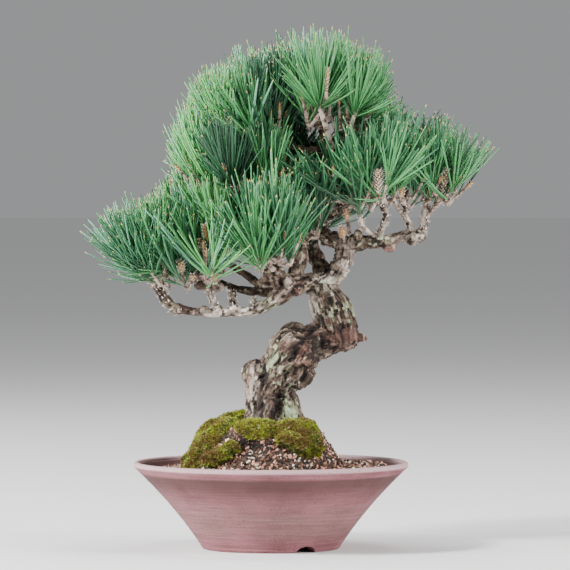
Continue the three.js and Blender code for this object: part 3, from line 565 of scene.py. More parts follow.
# A knobbly tube along a path. Its ends are closed.
def tube(places, radii, sides, rough, seed):
    ways, side, other = framesAlong(places)
    random = np.random.default_rng(seed)
    turns = 2 * np.pi * np.arange(sides) / sides
    swell = 1 + rough * (random.random((len(places), 1)) - 0.5)
    swell = swell + 0.6 * rough * (random.random((len(places), sides)) - 0.5)
    reach = (radii[:, None] * swell)[..., None]
    around = np.cos(turns)[None, :, None] * side[:, None] + np.sin(turns)[None, :, None] * other[:, None]
    return (places[:, None] + reach * around).reshape(-1, 3), ringFaces(len(places), sides)


def roundLump(place, reach):
    build = bmesh.new()
    bmesh.ops.create_icosphere(build, subdivisions=3, radius=1)
    points = np.array([v.co for v in build.verts]) * reach + place
    faces = [tuple(v.index for v in face.verts) for face in build.faces]
    build.free()
    return points, faces


def joinTubes(parts):
    points, faces, total = [], [], 0
    for places, faceList in parts:
        points.append(places)
        faces += [tuple(i + total for i in face) for face in faceList]
        total += len(places)
    return np.vstack(points), faces


# Bark skin over trunk and boughs

barkSettings = {
    "voxel": 0.74, "plate": 5.2, "plateStretch": 1.5, "fissure": 0.2, "depth": 1.4, "fuller": 0.45,
    "relief": 0.16, "leastRelief": 0.5, "mostRelief": 2.4,  # the first for each millimetre of radius
    "ropes": {2: 1.0, 3: 0.7}, "ropeLift": 0.5, "ropePitch": 4.4, "ropeEnd": 60,  # on these runs of the trunk
    "patternShift": 53,  # each limb takes its pattern from further on
    # how much painted shade each dent gets
    "dentPaintedShade": 0.3,
}
# What shows at places on the bark: middle, reach along x, y and z, and strength (millimetres for dents). The
# dark spots are painted shade in the hollows and crevices, and the dents get painted shade too.
barkMarks = {
    "dent": [
        ((-8.2, -14, 96), (2.8, 7, 13), 4.5), ((5.6, -16, 99), (3, 7, 8), 4.5),
        ((-5, -13, 120), (2.6, 7, 9), 3.2), ((18, -12, 153), (6, 9, 2.2), 2.6),
        ((27, -14, 147.5), (6, 9, 2.4), 3.2), ((36, -13, 141), (3.6, 8, 5), 3.4),
        ((7, -17, 183), (2.2, 5, 3.2), 5.0), ((21, -18, 124), (8, 8, 2), 2.0),
    ],
    # painted shade in the hollows and crevices between the trunk's lobes and under its limbs
    "dark": [
        ((30, -12, 126), (4, 8, 8), 0.6), ((14, -13, 112), (9, 8, 5), 0.7), ((0, -14, 97), (6, 8, 13), 0.66),
        ((-7, -14, 97), (1.6, 7, 14), 0.9), ((39, -12, 160), (7, 6, 8), 0.3),
        ((50, -10, 145), (11, 12, 9), 0.6), ((32, -13, 140), (5, 8, 9), 0.75),
        ((6, -14, 108), (8, 8, 4), 0.6), ((-2, -9, 166), (9, 9, 3), 0.4),
        ((7, -17, 183), (2.4, 5, 3.4), 1.0),
    ],
    "pale": [
        ((27, -5, 168), (4.5, 9, 9), 0.95), ((-24, -12, 164), (15, 8, 6), 1.7),
        ((-11, -9, 120), (2.2, 8, 9), 0.9), ((100, -6, 224), (12, 9, 12), 0.75),
        ((-34, -10, 173), (12, 9, 6), 0.7), ((78, -8, 226), (9, 9, 12), 0.4),
        ((-12.6, -9, 99), (2.2, 8, 13), 1.3), ((36, -8, 185), (9, 9, 6), 0.5),
        ((11.5, -14, 183), (2.6, 7, 4.5), 0.95), ((51, -6, 200), (7, 9, 13), 0.55),
    ],
    "rose": [
        ((81.5, -10, 209), (6, 6, 6), 1.2), ((22, -20, 135), (8, 9, 10), 0.8),
        ((50, -10, 146), (12, 12, 10), 1.1), ((12, -9, 181), (13, 9, 7), 0.8),
        ((0, -14, 97), (6, 8, 13), 0.5), ((49, -5, 206), (5, 9, 8), 0.5), ((-15, -8, 112), (4, 8, 12), 0.5),
    ],
    "lichen": [
        ((74, -8, 213), (9, 8, 6), 0.7), ((13, -13, 95), (8, 9, 8), 1.3), ((4, -14, 130), (7, 8, 11), 0.95),
        ((39, -10, 162), (8, 9, 9), 0.6), ((53, -4, 164), (4, 9, 10), 0.7), ((-2, -10, 170), (9, 8, 6), 0.7),
        ((37, -7, 184), (8, 9, 6), 0.45),
    ],
}
# Burls and old cut stubs that swell on the limbs: place, and reach along x, y and z.
burls = [
    ((1, -10, 190), (6.5, 6, 7)), ((8, -11, 184), (8, 6, 6.5)), ((-4, -8, 184), (5, 5, 4)),
    ((81.5, -6, 209.5), (5, 5, 4.6)), ((101, -6, 216), (6.5, 5, 5)), ((97, -9, 213), (4, 4, 4)),
    ((69, -5, 212), (5, 5, 5)), ((57, -5, 212), (5, 5, 5.5)), ((60, -8, 216), (3, 3, 5)),
    ((-64, -9, 166), (4.5, 4, 4)), ((-36, -12, 165), (4, 4, 4)), ((-46, -12, 165), (3.6, 3.6, 3.6)),
    ((-24, -12, 165), (4, 4, 4)), ((-37, -9, 181), (5, 5, 3.5)), ((-49, -13, 182), (4.5, 4.5, 3.5)),
]


# Rows along all limbs: middle, radius, side, other side, length so far and how much it is roped.
def barkSamples():
    rows = []
    for i, limb in enumerate([*trunkRuns, *roots, *boughs.values()]):
        places, radii = limbPath(limb, 2.0)
        ways, side, other = framesAlong(places)
        lengths = np.concatenate([[0], np.cumsum(np.linalg.norm(np.diff(places, axis=0), axis=1))])
        rope = np.full(len(places), barkSettings["ropes"].get(i, 0.0))
        rope[lengths > barkSettings["ropeEnd"]] = 0
        shifted = lengths + barkSettings["patternShift"] * i
        rows.append(np.column_stack([places, radii, side, other, shifted, rope]))
    return np.vstack(rows)


# Plates with cracks between them, ridges, stepped flakes and knots, in millimetres along the normal.
def barkTree():
    tree, given, add = newTree("Bark relief", {"Plate": "Float", "Plate stretch": "Float", "Fissure": "Float",
                                               "Depth": "Float"})
    space = add("value", "barkSpace", data_type="FLOAT_VECTOR")
    swell, depth = add("value", "swell"), add("value", "barkDepth")

    def ridged(stretch, size, detail, strength):
        noise = add("noise", add("vectorTimes", warped, (1, 1, stretch)), 1 / size, detail)
        fold = add("unsigned", add("minus", noise, 0.5))
        return add("times", add("minus", 1.0, add("times", fold, 5.0)), strength)

    drift = add("vectorMinus", add("noiseColour", space, 1 / 8, 3), (0.5, 0.5, 0.5))
    warped = add("vectorPlus", space, add("vectorTimes", drift, (12, 12, 16)))
    along = add("join", 1.0, 1.0, add("over", 1.0, given["Plate stretch"]))
    plates = add("cells", add("vectorTimes", warped, along), add("over", 1.0, given["Plate"]),
                 feature="DISTANCE_TO_EDGE")[0]
    crack = add("smooth", plates, 0.0, given["Fissure"], 1.0, 0.0)
    cracked = add("smooth", add("noise", space, 1 / 8, 2), 0.4, 0.62, 0.1, 1.0, interpolation_type="LINEAR")
    flakes = add("cells", add("vectorTimes", warped, (1, 1, 0.7)), 1 / 3.2, 0.25, feature="SMOOTH_F1")
    steps = add("times", add("split", flakes["Color"])[0], 0.34)
    relief = add("plus", add("plus", ridged(0.5, 6.5, 3, 0.4), ridged(0.8, 2.6, 2, 0.2)), steps)
    relief = add("minus", relief, add("times", add("times", crack, cracked), 0.34))
    knots = add("times", add("minus", add("noise", space, 1 / 10, 2), 0.5), add("times", depth, 2.2))
    kept = add("keep", given["Geometry"], "relief", add("plus", relief, add("times", swell, 0.06)))
    lift = add("times", add("minus", relief, 0.45), add("times", depth, given["Depth"]))
    lift = add("times", add("plus", add("plus", lift, knots), swell), mm)
    return endTree(tree, add, given, add("shift", kept, add("scaled", add("normal"), lift)))


def makeBark():
    s = barkSettings
    parts = []
    for i, rows in enumerate(boughs.values()):
        places, radii = limbPath(rows, 4.0)
        parts.append(tube(places, radii + s["fuller"], sides=10, rough=0.32, seed=40 + i))
    parts += [roundLump(place, reach) for place, reach in burls]
    skin = softCopy("barkForm", ["trunk"], s["voxel"], iterations=6, more=joinTubes(parts))
    mesh = skin.data
    places = fromFrame(positionsOf(mesh))
    samples = barkSamples()
    centres, girths = samples[:, :3], samples[:, 3]
    nearest = np.empty(len(places), int)
    atOnce = 8000  # keeps the memory small
    for start in range(0, len(places), atOnce):
        chunk = places[start:start + atOnce]
        squares = (chunk ** 2).sum(1)[:, None] - 2 * chunk @ centres.T + (centres ** 2).sum(1)
        nearest[start:start + atOnce] = np.argmin(np.sqrt(np.maximum(squares, 0)) - girths, axis=1)
    limb = samples[nearest]
    out = places - limb[:, :3]
    across, over = (out * limb[:, 4:7]).sum(1), (out * limb[:, 7:10]).sum(1)
    setValues(mesh, "barkSpace", "FLOAT_VECTOR", np.column_stack([across, over, limb[:, 10]]))
    depth = np.clip(s["relief"] * limb[:, 3], s["leastRelief"], s["mostRelief"])
    setValues(mesh, "barkDepth", "FLOAT", depth)
    turn = np.arctan2(over, across)
    rope = np.sin(turn + 2 * np.pi * limb[:, 10] / s["ropePitch"])
    swell = s["ropeLift"] * rope * limb[:, 11]
    marks = np.zeros((len(places), 3))
    # painted shade, gathered from the dents and the dark spots
    hollow = np.zeros(len(places))
    for kind, spots in barkMarks.items():
        for at, reach, strength in spots:
            share = nearTo(places, at, reach) * strength
            if kind == "dent":
                swell -= share
                hollow = np.maximum(hollow, s["dentPaintedShade"] * share)
            elif kind == "dark":
                hollow = np.maximum(hollow, share)
            else:
                column = ("pale", "lichen", "rose").index(kind)  # as the finish reads them
                marks[:, column] = np.maximum(marks[:, column], share)
    setValues(mesh, "swell", "FLOAT", swell)
    setValues(mesh, "barkMarks", "FLOAT_VECTOR", marks)
    setValues(mesh, "barkPaintedShade", "FLOAT", np.clip(hollow, 0, 1))
    values = {"Plate": s["plate"], "Plate stretch": s["plateStretch"], "Fissure": s["fissure"],
              "Depth": s["depth"], "Finish": pineBark()}
    bark = grow("bark_skin", skin, barkTree(), values)
    bpy.data.objects.remove(skin)
    bark.data.shade_smooth()
    settle(bark, ["trunk", *boughs])


# Pot

potSettings = {
    "height": 60, "foot": 47, "rim": 95, "slope": 0.634, "lip": 2.2, "wall": 6.8, "floor": 11, "recess": 5,
    "footRing": 8, "drain": 7, "sides": 256, "ringDepth": 0.11,
    "joinDown": 0.72, "joinIn": 0.31,  # where the wall meets the lip, in shares of the lip
    "lipFrom": -45, "lipStep": 12.5,  # degrees
    "footEdge": 0.4, "footRound": ((0.7, 0), (0.15, 0.25)),  # in from the foot's rim, and up
    "wallFrom": 0.9, "ringStep": 0.75, "groove": 0.35, "grooveAt": 3.4, "grooveWide": 0.5,
    "sideHeights": (48, 40, 30, 20),  # rows on the inner wall
    # Cuts in the foot: turn, half width, height, and how far each reaches out and in from the foot's rim. Two
    # are notches and the last is a chip.
    "cuts": [(30.5, 7.5, 4.5, 12, 12), (210.5, 7.5, 4.5, 12, 12), (-4.6, 2.5, 1, 4, 1.6)], "cutSides": 28,
    "smoothTo": 38,
}


def makePot():
    s = potSettings
    lipHeight = s["height"] - s["lip"]
    joinHeight, joinOut = lipHeight - s["joinDown"] * s["lip"], s["rim"] - s["joinIn"] * s["lip"]
    flare = (joinOut - s["foot"] - s["slope"] * joinHeight) / joinHeight ** 2
    random = np.random.default_rng(4)

    def outer(z):
        return s["foot"] + s["slope"] * z + flare * z * z

    profile = [(s["foot"] - s["footRing"], s["footEdge"]), (s["foot"] - s["footRing"] + s["footEdge"], 0)]
    profile += [(s["foot"] - inwards, z) for inwards, z in s["footRound"]]
    for z in np.arange(s["wallFrom"], joinHeight - 0.4, s["ringStep"]):  # the wall, with the fingers' rings
        groove = -s["groove"] * math.exp(-((z - s["grooveAt"]) / s["grooveWide"]) ** 2)
        profile.append((outer(z) + groove + s["ringDepth"] * (random.random() - 0.5) * 2, z))
    for turn in np.arange(s["lipFrom"], 181, s["lipStep"]):
        angle = math.radians(turn)
        out = s["rim"] - s["lip"] + s["lip"] * math.cos(angle)
        profile.append((out, lipHeight + s["lip"] * math.sin(angle)))
    for z in (*s["sideHeights"], s["floor"]):
        profile.append((outer(z) - s["wall"], z))
    profile += [(s["drain"], s["floor"]), (s["drain"], s["recess"]), (s["foot"] - s["footRing"], s["recess"])]
    sides = s["sides"]
    turns = 2 * np.pi * np.arange(sides) / sides
    points = [(r * math.cos(t), r * math.sin(t), z) for r, z in profile for t in turns]
    faces = []
    for i in range(len(profile)):
        for j in range(sides):
            k, n = (i + 1) % len(profile), (j + 1) % sides
            faces.append((i * sides + j, i * sides + n, k * sides + n, k * sides + j))
    pot = addObject("pot_body", meshOf("pot_body", toFrame(points), faces), thrownTerracotta())
    for turn, half, high, outwards, inwards in s["cuts"]:
        around = 2 * np.pi * np.arange(s["cutSides"]) / s["cutSides"]
        ends = (-s["foot"] - outwards, -s["foot"] + inwards)
        ring = [(half * math.cos(a), y, high * math.sin(a)) for y in ends for a in around]
        angle = math.radians(turn)
        turned = [(x * math.cos(angle) - y * math.sin(angle), x * math.sin(angle) + y * math.cos(angle), z)
                  for x, y, z in ring]
        cutter = addObject("cutter", meshOf("cutter", toFrame(turned), ringFaces(2, s["cutSides"])))
        fix = bmesh.new()
        fix.from_mesh(cutter.data)
        bmesh.ops.recalc_face_normals(fix, faces=fix.faces)
        fix.to_mesh(cutter.data)
        fix.free()
        cut = pot.modifiers.new("cut", "BOOLEAN")
        cut.object = cutter
        cut.operation = "DIFFERENCE"
        cut.solver = "EXACT"
        harden(pot)
        bpy.data.objects.remove(cutter)
    pot.data.shade_smooth()
    bpy.context.view_layer.objects.active = pot
    pot.select_set(True)
    bpy.ops.object.shade_smooth_by_angle(angle=math.radians(s["smoothTo"]))
    pot.select_set(False)
    settle(pot, ["pot"])


# Soil, grit and moss

# Colour, count for each square centimetre, smallest and largest radius, how patchy it lies, and how much more
# of it lies where shade is painted on the ground: dark grit gathers there and light grit thins out, which
# paints shade too.
gritSettings = {
    "grit_rose": ("cc9a84", 10.0, 0.8, 2.6, 0.6, -0.9),
    "grit_brown": ("6e4c3e", 15.0, 0.8, 2.3, 0.3, -0.2),
    "grit_pale": ("ede1d0", 10.0, 0.6, 2.2, 0.6, -0.8),
    "grit_dark": ("2c2422", 19.0, 0.6, 2.0, 0.3, 0.9),
    "grit_fine": ("917766", 34.0, 0.35, 0.9, 0.3, -0.4),
}


# One even skin over solids and any more closed shapes.
def softCopy(name, nodes, voxel, iterations, more=None):
    build = bmesh.new()
    for node in nodes:
        build.from_mesh(solids[node].data)
    bmesh.ops.remove_doubles(build, verts=build.verts, dist=1e-6)
    if more:
        fresh = [build.verts.new(p) for p in toFrame(more[0])]
        for face in more[1]:
            build.faces.new([fresh[i] for i in face])
    mesh = bpy.data.meshes.new(name)
    build.to_mesh(mesh)
    build.free()
    piece = addObject(name, mesh)
    remesh = piece.modifiers.new("even skin", "REMESH")
    remesh.mode = "VOXEL"
    remesh.voxel_size = voxel * mm
    remesh.use_smooth_shade = True
    ease = piece.modifiers.new("ease facets", "SMOOTH")
    ease.factor = 0.65
    ease.iterations = iterations
    return harden(piece)


# Lifts and sinks a skin by noise.
def roughTree():
    tree, given, add = newTree("Rough ground", {"Lump size": "Float", "Lump height": "Float"})
    lumps = add("minus", add("noise", add("position"), given["Lump size"], 3.0), 0.5)
    offset = add("scaled", add("normal"), add("times", lumps, given["Lump height"]))
    return endTree(tree, add, given, add("shift", given["Geometry"], offset))


facesDown = -0.25  # a normal's z below which nothing lies
fullTurn = 6.283


# Strews pieces in patches over all of a skin that doesn't face down.
def strewingTree():
    tree, given, add = newTree("Strew over the ground", {
        "Pieces": "Collection", "Density": "Float", "Smallest": "Float", "Largest": "Float",
        "Tumble": "Float", "Patchy": "Float", "Shade": "Float", "Seed": "Int"})
    facing = add("exceeds", add("split", add("normal"))[2], facesDown)
    aside = add("vectorPlus", add("position"), add("scaled", (0.1, 0.2, 0.3), given["Seed"]))
    patch = add("smooth", add("noise", aside, 1 / (9 * mm), 2.0), 0.46, 0.56)
    share = add("larger", patch, add("minus", 1.0, given["Patchy"]))
    shaded = add("larger", add("timesPlus", add("value", "shade"), given["Shade"], 1.0), 0.0)
    density = add("times", add("times", given["Density"], share), shaded)
    spots = add("scatter", given["Geometry"], facing, density, given["Seed"])
    size = add("randomNumber", given["Smallest"], given["Largest"], given["Seed"])
    most = add("vectorPlus", add("scaled", (1, 1, 0), given["Tumble"]), (0, 0, fullTurn))
    turned = add("turned", spots["Rotation"], add("randomVector", (0, 0, 0), most))
    pieces = add("pieces", given["Pieces"], True, True)
    return endTree(tree, add, given, add("instances", spots[0], pieces, True, None, turned, size))


# A broken stone of one millimetre radius.
def makeStone(random):
    build = bmesh.new()
    for corner in random.normal(size=(11, 3)):
        build.verts.new(unit(corner) * (0.7 + 0.35 * random.random()))
    hull = bmesh.ops.convex_hull(build, input=build.verts)
    bmesh.ops.delete(build, geom=[v for v in hull["geom_interior"] if isinstance(v, bmesh.types.BMVert)])
    build.verts.index_update()
    points = np.array([v.co for v in build.verts])
    faces = [[v.index for v in face.verts] for face in build.faces]
    build.free()
    return points * (1.15, 0.55 + 0.5 * random.random(), 0.45 + 0.4 * random.random()), faces, ()


# A moss stem's head seen from above: five short leaves round a point, one millimetre high.
def makeMossHead(random):
    points, faces = [], []
    for k in range(6):
        turn = 2 * math.pi * k / 6 + random.random()
        out = np.array([math.cos(turn), math.sin(turn), 0])
        side = np.array([-math.sin(turn), math.cos(turn), 0])
        reach, high = 0.55 + 0.4 * random.random(), 0.7 + 0.6 * random.random()
        first = len(points)
        points += [np.array([0, 0, -0.6]), out * reach * 0.55 + side * 0.2 + [0, 0, 0.5 * high],
                   out * reach * 0.55 - side * 0.2 + [0, 0, 0.5 * high], out * reach + [0, 0, high]]
        faces += [(first, first + 1, first + 2), (first + 1, first + 3, first + 2)]
    return points, faces, ()


# Loose crumbs are heaped over the bed near the wall: how high, and where that starts, is full, ends and has
# gone, out from the middle. In front the soil falls away under the moss: where, its reach and how deep. Lumps
# have a size and a height.
bedSettings = {"voxel": 1.5, "heap": 2.2, "heapOut": (58, 70, 76, 82), "heapAbove": 40,
               "hollowAt": (-17, -38, 72), "hollowReach": (9, 14, 5), "hollow": 3.2, "lumps": (6, 2.2)}
cushionSettings = {"voxel": 0.9, "lumps": (11, 5), "smallLumps": (3, 2.6)}
mossSettings = {  # as for the grit, with the heads' sizes
    "moss_bright": ("aebf35", 100, 0.8, 1.5, 0.8, -1.1),
    "moss_deep": ("5f6d22", 60, 0.7, 1.3, 0.3, -0.3),
    "moss_olive": ("928340", 85, 0.8, 1.5, 0.85, 0.3),
    "moss_brown": ("7c5c36", 60, 0.8, 1.6, 0.9, 1.6),
    "moss_dry": ("cfc292", 14, 0.7, 1.4, 1.0, 1.2),
}
# Where shade is painted on the ground, and where the moss is browner, partly its own brown and partly painted
# shade on its lower sides: middle, reach along x, y and z, and strength.
groundShade = [
    ((-17, -38, 74), (12, 18, 6), 1.3), ((60, -30, 58), (26, 60, 6), 0.7), ((-52, -40, 57), (20, 40, 5), 0.3),
]
mossShade = [
    ((-46, -30, 68), (17, 40, 11), 0.9), ((20, -36, 80), (12, 14, 7), 0.9),
    ((-6, -28, 90), (10, 12, 5), -0.8), ((-58, -10, 78), (10, 20, 9), -0.4),
]
# The cushion at the back left sinks round this x: not at all below a height, and fully so far over it.
mossDrop = {"middle": -36, "reach": 12, "depth": 4.2, "from": 76, "over": 12}
mossCreep = [  # where the moss creeps on past its cushions: place, and reach along x, y and z
    ((12, -36, 77), (9, 6, 5)), ((19, -35, 73), (7, 6, 5)), ((-55, -4, 61), (6, 9, 5)),
    ((-48, -20, 65), (8, 7, 5)), ((29, -22, 77), (6, 7, 5)), ((-33, -34, 66), (8, 7, 6)),
    ((-27, -35, 71), (6, 6, 5)), ((-40, -31, 62), (8, 8, 6)),
]
mossNodes = ["moss_left", "moss_left_back", "moss_front", "moss_right", "moss_back"]


def shadeGround(piece, spots):
    places = fromFrame(positionsOf(piece.data))
    shade = sum(strength * nearTo(places, middle, reach) for middle, reach, strength in spots)
    setValues(piece.data, "shade", "FLOAT", shade)


# Strews pieces of all the settings' colours over a skin.
def strew(base, tree, shapes, settings, tumble, firstSeed, roughness, nodes):
    for i, (name, (code, count, smallest, largest, patchy, shade)) in enumerate(settings.items()):
        values = {"Pieces": shapes, "Density": count / (10 * mm) ** 2, "Smallest": smallest,
                  "Largest": largest, "Tumble": tumble, "Patchy": patchy, "Shade": shade,
                  "Seed": firstSeed + i, "Finish": plainFinish(name.replace("_", " "), code, roughness)}
        settle(grow(name, base, tree, values), nodes)


def makeGround():
    rough, strewing = roughTree(), strewingTree()

    def roughened(name, base, lumps, **finish):
        size, height = lumps
        return grow(name, base, rough, {"Lump size": 1 / (size * mm), "Lump height": height * mm, **finish})

    bed = softCopy("soilForm", ["soil"], bedSettings["voxel"], iterations=2)
    places = fromFrame(positionsOf(bed.data))
    starts, full, ends, gone = bedSettings["heapOut"]
    out = np.hypot(places[:, 0], places[:, 1])
    share = np.clip((out - starts) / (full - starts), 0, 1) * np.clip(1 - (out - ends) / (gone - ends), 0, 1)
    places[:, 2] += bedSettings["heap"] * (share * (places[:, 2] > bedSettings["heapAbove"]))
    hollow = nearTo(places, bedSettings["hollowAt"], bedSettings["hollowReach"])
    places[:, 1] += bedSettings["hollow"] * hollow
    moveTo(bed, places)
    shadeGround(bed, groundShade)
    soil = roughened("soil_bed", bed, bedSettings["lumps"], Finish=dampSoil())
    stones = shapeSet("stone", 8, makeStone, smooth=False)
    strew(bed, strewing, stones, gritSettings, tumble=fullTurn, firstSeed=3, roughness=0.9,
          nodes=["soil"])
    bpy.data.objects.remove(bed)
    settle(soil, ["soil"])
    creep = joinTubes([roundLump(place, reach) for place, reach in mossCreep])
    cushion = softCopy("mossForm", mossNodes, cushionSettings["voxel"], iterations=3, more=creep)
    places = fromFrame(positionsOf(cushion.data))
    sunk = np.exp(-((places[:, 0] - mossDrop["middle"]) / mossDrop["reach"]) ** 2)
    high = np.clip((places[:, 2] - mossDrop["from"]) / mossDrop["over"], 0, 1)
    places[:, 2] -= mossDrop["depth"] * sunk * high
    moveTo(cushion, places)
    shadeGround(cushion, mossShade)
    lumps = roughened("mossLumps", cushion, cushionSettings["lumps"])
    body = roughened("moss_cushions", lumps, cushionSettings["smallLumps"], Finish=mossBody())
    bpy.data.objects.remove(lumps)
    heads = shapeSet("mossHead", 6, makeMossHead)
    strew(body, strewing, heads, mossSettings, tumble=0.5, firstSeed=21, roughness=0.8,
          nodes=mossNodes)
    bpy.data.objects.remove(cushion)
    settle(body, mossNodes)


# Foliage. The pads, their shoots and their forking twigs follow the rule of the solids and go on to finer
# twigs. A pad says on which limb it grows, its middle and half its width and depth, how many shoots it has,
# how they lean to the right and the back, and the length and radius of the bud that stands out.

needleNodes = [node for node in solids if node.startswith("needles_")]
pads = {
    "left_end": {"on": "bough_left_end", "at": (-77, -6, 188), "wide": 9, "deep": 13, "shoots": 4,
                 "lean": -0.4},
    "left_front": {"on": "spur_left", "at": (-50, -15, 189), "wide": 11, "deep": 8, "shoots": 4, "lean": -0.2,
                   "bud": (9, 2.4)},
    "left_back": {"on": "bough_left_upper", "at": (-51, 22, 197), "wide": 14, "deep": 14, "shoots": 6,
                  "lean": -0.3},
    "left_mid": {"on": "bough_left_rising", "at": (-28, 3, 211), "wide": 12, "deep": 11, "shoots": 5,
                 "bud": (9, 2.2)},
    "front": {"on": "bough_front", "at": (0, -24, 201), "wide": 15, "deep": 10, "shoots": 6},
    "centre": {"on": "bough_centre", "at": (27, -14, 216), "wide": 10, "deep": 7, "shoots": 4},
    "mid_left": {"on": "bough_mid_left", "at": (-40, 9, 252), "wide": 17, "deep": 15, "shoots": 7,
                 "lean": -0.3},
    "mid_inner": {"on": "bough_mid_inner", "at": (-12, -8, 251), "wide": 16, "deep": 11, "shoots": 6},
    "upper_left": {"on": "bough_upper_left", "at": (-25, 11, 282), "wide": 14, "deep": 15, "shoots": 5,
                   "lean": -0.3},
    "upper_inner": {"on": "bough_upper_inner", "at": (-1, -4, 285), "wide": 14, "deep": 10, "shoots": 5,
                    "lean": -0.1},
    "apex": {"on": "trunk", "at": (34, 0, 295), "wide": 13, "deep": 14, "shoots": 5, "bud": (18, 1.5),
             "budAt": (38, -25, 314)},
    "apex_right": {"on": "bough_apex_right", "at": (59, 2, 292), "wide": 11, "deep": 12, "shoots": 5,
                   "lean": 0.3},
    "right_end": {"on": "spur_right_end", "at": (113, -3, 245), "wide": 9, "deep": 10, "shoots": 4,
                  "lean": 0.4, "bud": (18, 2.2), "budAt": (117.5, -9, 245)},
    "right_mid": {"on": "spur_right_mid", "at": (91, 1, 245), "wide": 9, "deep": 12, "shoots": 4,
                  "lean": 0.1},
    "right_front": {"on": "spur_right_front", "at": (72, -18, 246), "wide": 7, "deep": 6, "shoots": 3,
                    "bud": (19, 3.2), "budAt": (73.5, -26, 243)},
    "right_inner": {"on": "bough_right_inner", "at": (51, -11, 243), "wide": 8, "deep": 6, "shoots": 3},
    "back_right": {"on": "bough_back_right", "at": (79, 45, 249), "wide": 18, "deep": 13, "shoots": 5,
                   "lean": 0.2, "back": 0.4},
    "back_left": {"on": "bough_back_left", "at": (-24, 46, 231), "wide": 20, "deep": 13, "shoots": 6,
                  "lean": -0.3, "back": 0.4},
    "back_top": {"on": "bough_back_top", "at": (10, 40, 289), "wide": 18, "deep": 12, "shoots": 5,
                 "lean": -0.1, "back": 0.4},
    "back_mid": {"on": "bough_back_mid", "at": (4, 25, 259), "wide": 16, "deep": 9, "shoots": 5, "lean": -0.1,
                 "back": 0.3},
    "back_low": {"on": "bough_back", "at": (27, 38, 221), "wide": 15, "deep": 9, "shoots": 4, "lean": 0.1,
                 "back": 0.4},
}
# A pad's middle lies this much over its shoots, and its needles reach so far from it.
padRise, padReach = 12, 56
# The crown's outline from the front: x, and the highest and the lowest that most needles reach there.
crown = np.array([
    (-134, 219, 209), (-118, 228, 206), (-112, 233, 191), (-101, 239, 184), (-90, 243, 178), (-76, 243, 166),
    (-75, 262, 160), (-72, 282, 150), (-66, 290, 150), (-62, 311, 150), (-52, 325, 150), (-41, 327, 150),
    (-25, 331, 150), (-20, 344, 150), (-2, 346, 150), (9, 353, 150), (28, 354, 150), (37, 358, 150),
    (48, 356, 150), (59, 347, 150), (70, 343, 150), (81, 337, 180), (85, 320, 195), (90, 303, 205),
    (103, 290, 212), (116, 292, 234), (124, 294, 244), (133, 284, 254), (150, 276, 269), (168, 279, 282),
])
shoot = {
    "radius": 1.5, "stalk": 15.2, "bud": 6, "budRadius": 1.3, "splay": 45, "dome": 6, "uneven": 4,
    "firstTurn": 0.6,
    "sideShoots": 2, "sideStep": 8, "sideNear": 0.7, "sideVary": 0.6, "sideTurn": 0.6, "sideDrop": 8,
    "sideLean": 0.45,
}
twig = {
    "collar": 4, "collarFrom": 1.5, "collarWidest": 2.6, "collarMore": 0.15,
    "stem": 1.9, "thinnest": 1.2, "taper": 0.82, "fork": 0.45, "bend": 3, "thicker": 0.3, "end": 1.2,
    "free": 1.3,  # a single shoot's twig
    "sideFrom": 0.55, "sideBend": 2, "sideShare": 0.8, "sideEnd": 0.9,
}
needle = {
    "length": 50, "vary": 0.2, "radius": 0.8, "pairs": 26, "overlap": 12, "past": 1, "mostInPiece": 4400,
    # degrees off the shoot's aim, from its foot to its tip, with what varies by shoot and by needle
    "lowest": 62, "highest": 7, "openPower": 0.8, "openVary": 16, "narrowest": 0.72, "narrowVary": 0.33,
    "sideways": 0.3, "turnVary": 6, "shortest": 0.86, "shortVary": 0.24,
    # how far needles may leave their pad's space, and how far they stay off limbs and buds
    "stray": 14, "strayPower": 2.6, "inside": 3.2, "offLimbs": 0.6, "offBuds": 1.5,
    # a needle too long for its place is tried again at these shares of its length
    "shorter": (1, 0.88, 0.75, 0.6),
}
# Both needles of a pair: how they bend, open, sway and vary, their widths along them, and how many tips are
# dry.
pair = {"shapes": 12, "bend": 1, "bendVary": 6, "open": 2, "openVary": 5, "apart": 1.5, "sway": 3, "bow": 2,
        "shortest": 0.94, "lengthVary": 0.12, "widths": ((0, 0.7), (0.3, 0.95), (0.65, 1.0), (0.965, 0.6)),
        "dry": 0.45}


# The same seeded numbers as the solids draw.
def numberStream(seed):
    state, modulus = seed, 2147483647

    def draw():
        nonlocal state
        state = state * 48271 % modulus
        return state / modulus

    return draw


def shootsOf(pad, random):
    made = []
    for k in range(pad["shoots"]):
        share = math.sqrt((k + 0.5) / pad["shoots"])
        angle = k * golden + shoot["firstTurn"]
        x, y = pad["wide"] * share * math.cos(angle), pad["deep"] * share * math.sin(angle)
        rise = shoot["dome"] * (1 - share) + shoot["uneven"] * (random() - 0.5)
        start = np.array(pad["at"]) + (x, y, rise)
        lean = (pad.get("lean", 0) + x / shoot["splay"], pad.get("back", 0) + y / shoot["splay"], 1.0)
        aim = unit(np.array(lean))
        bud = pad.get("bud") if k == 0 else None
        made.append({"start": start, "aim": aim, "stalk": shoot["stalk"], "bud": bud})
        if k == 0 and "budAt" in pad:
            place = np.array(pad["budAt"], float)
            made[0] = {"start": place, "aim": unit(aim + up), "stalk": 1.0, "bud": bud}
    return made


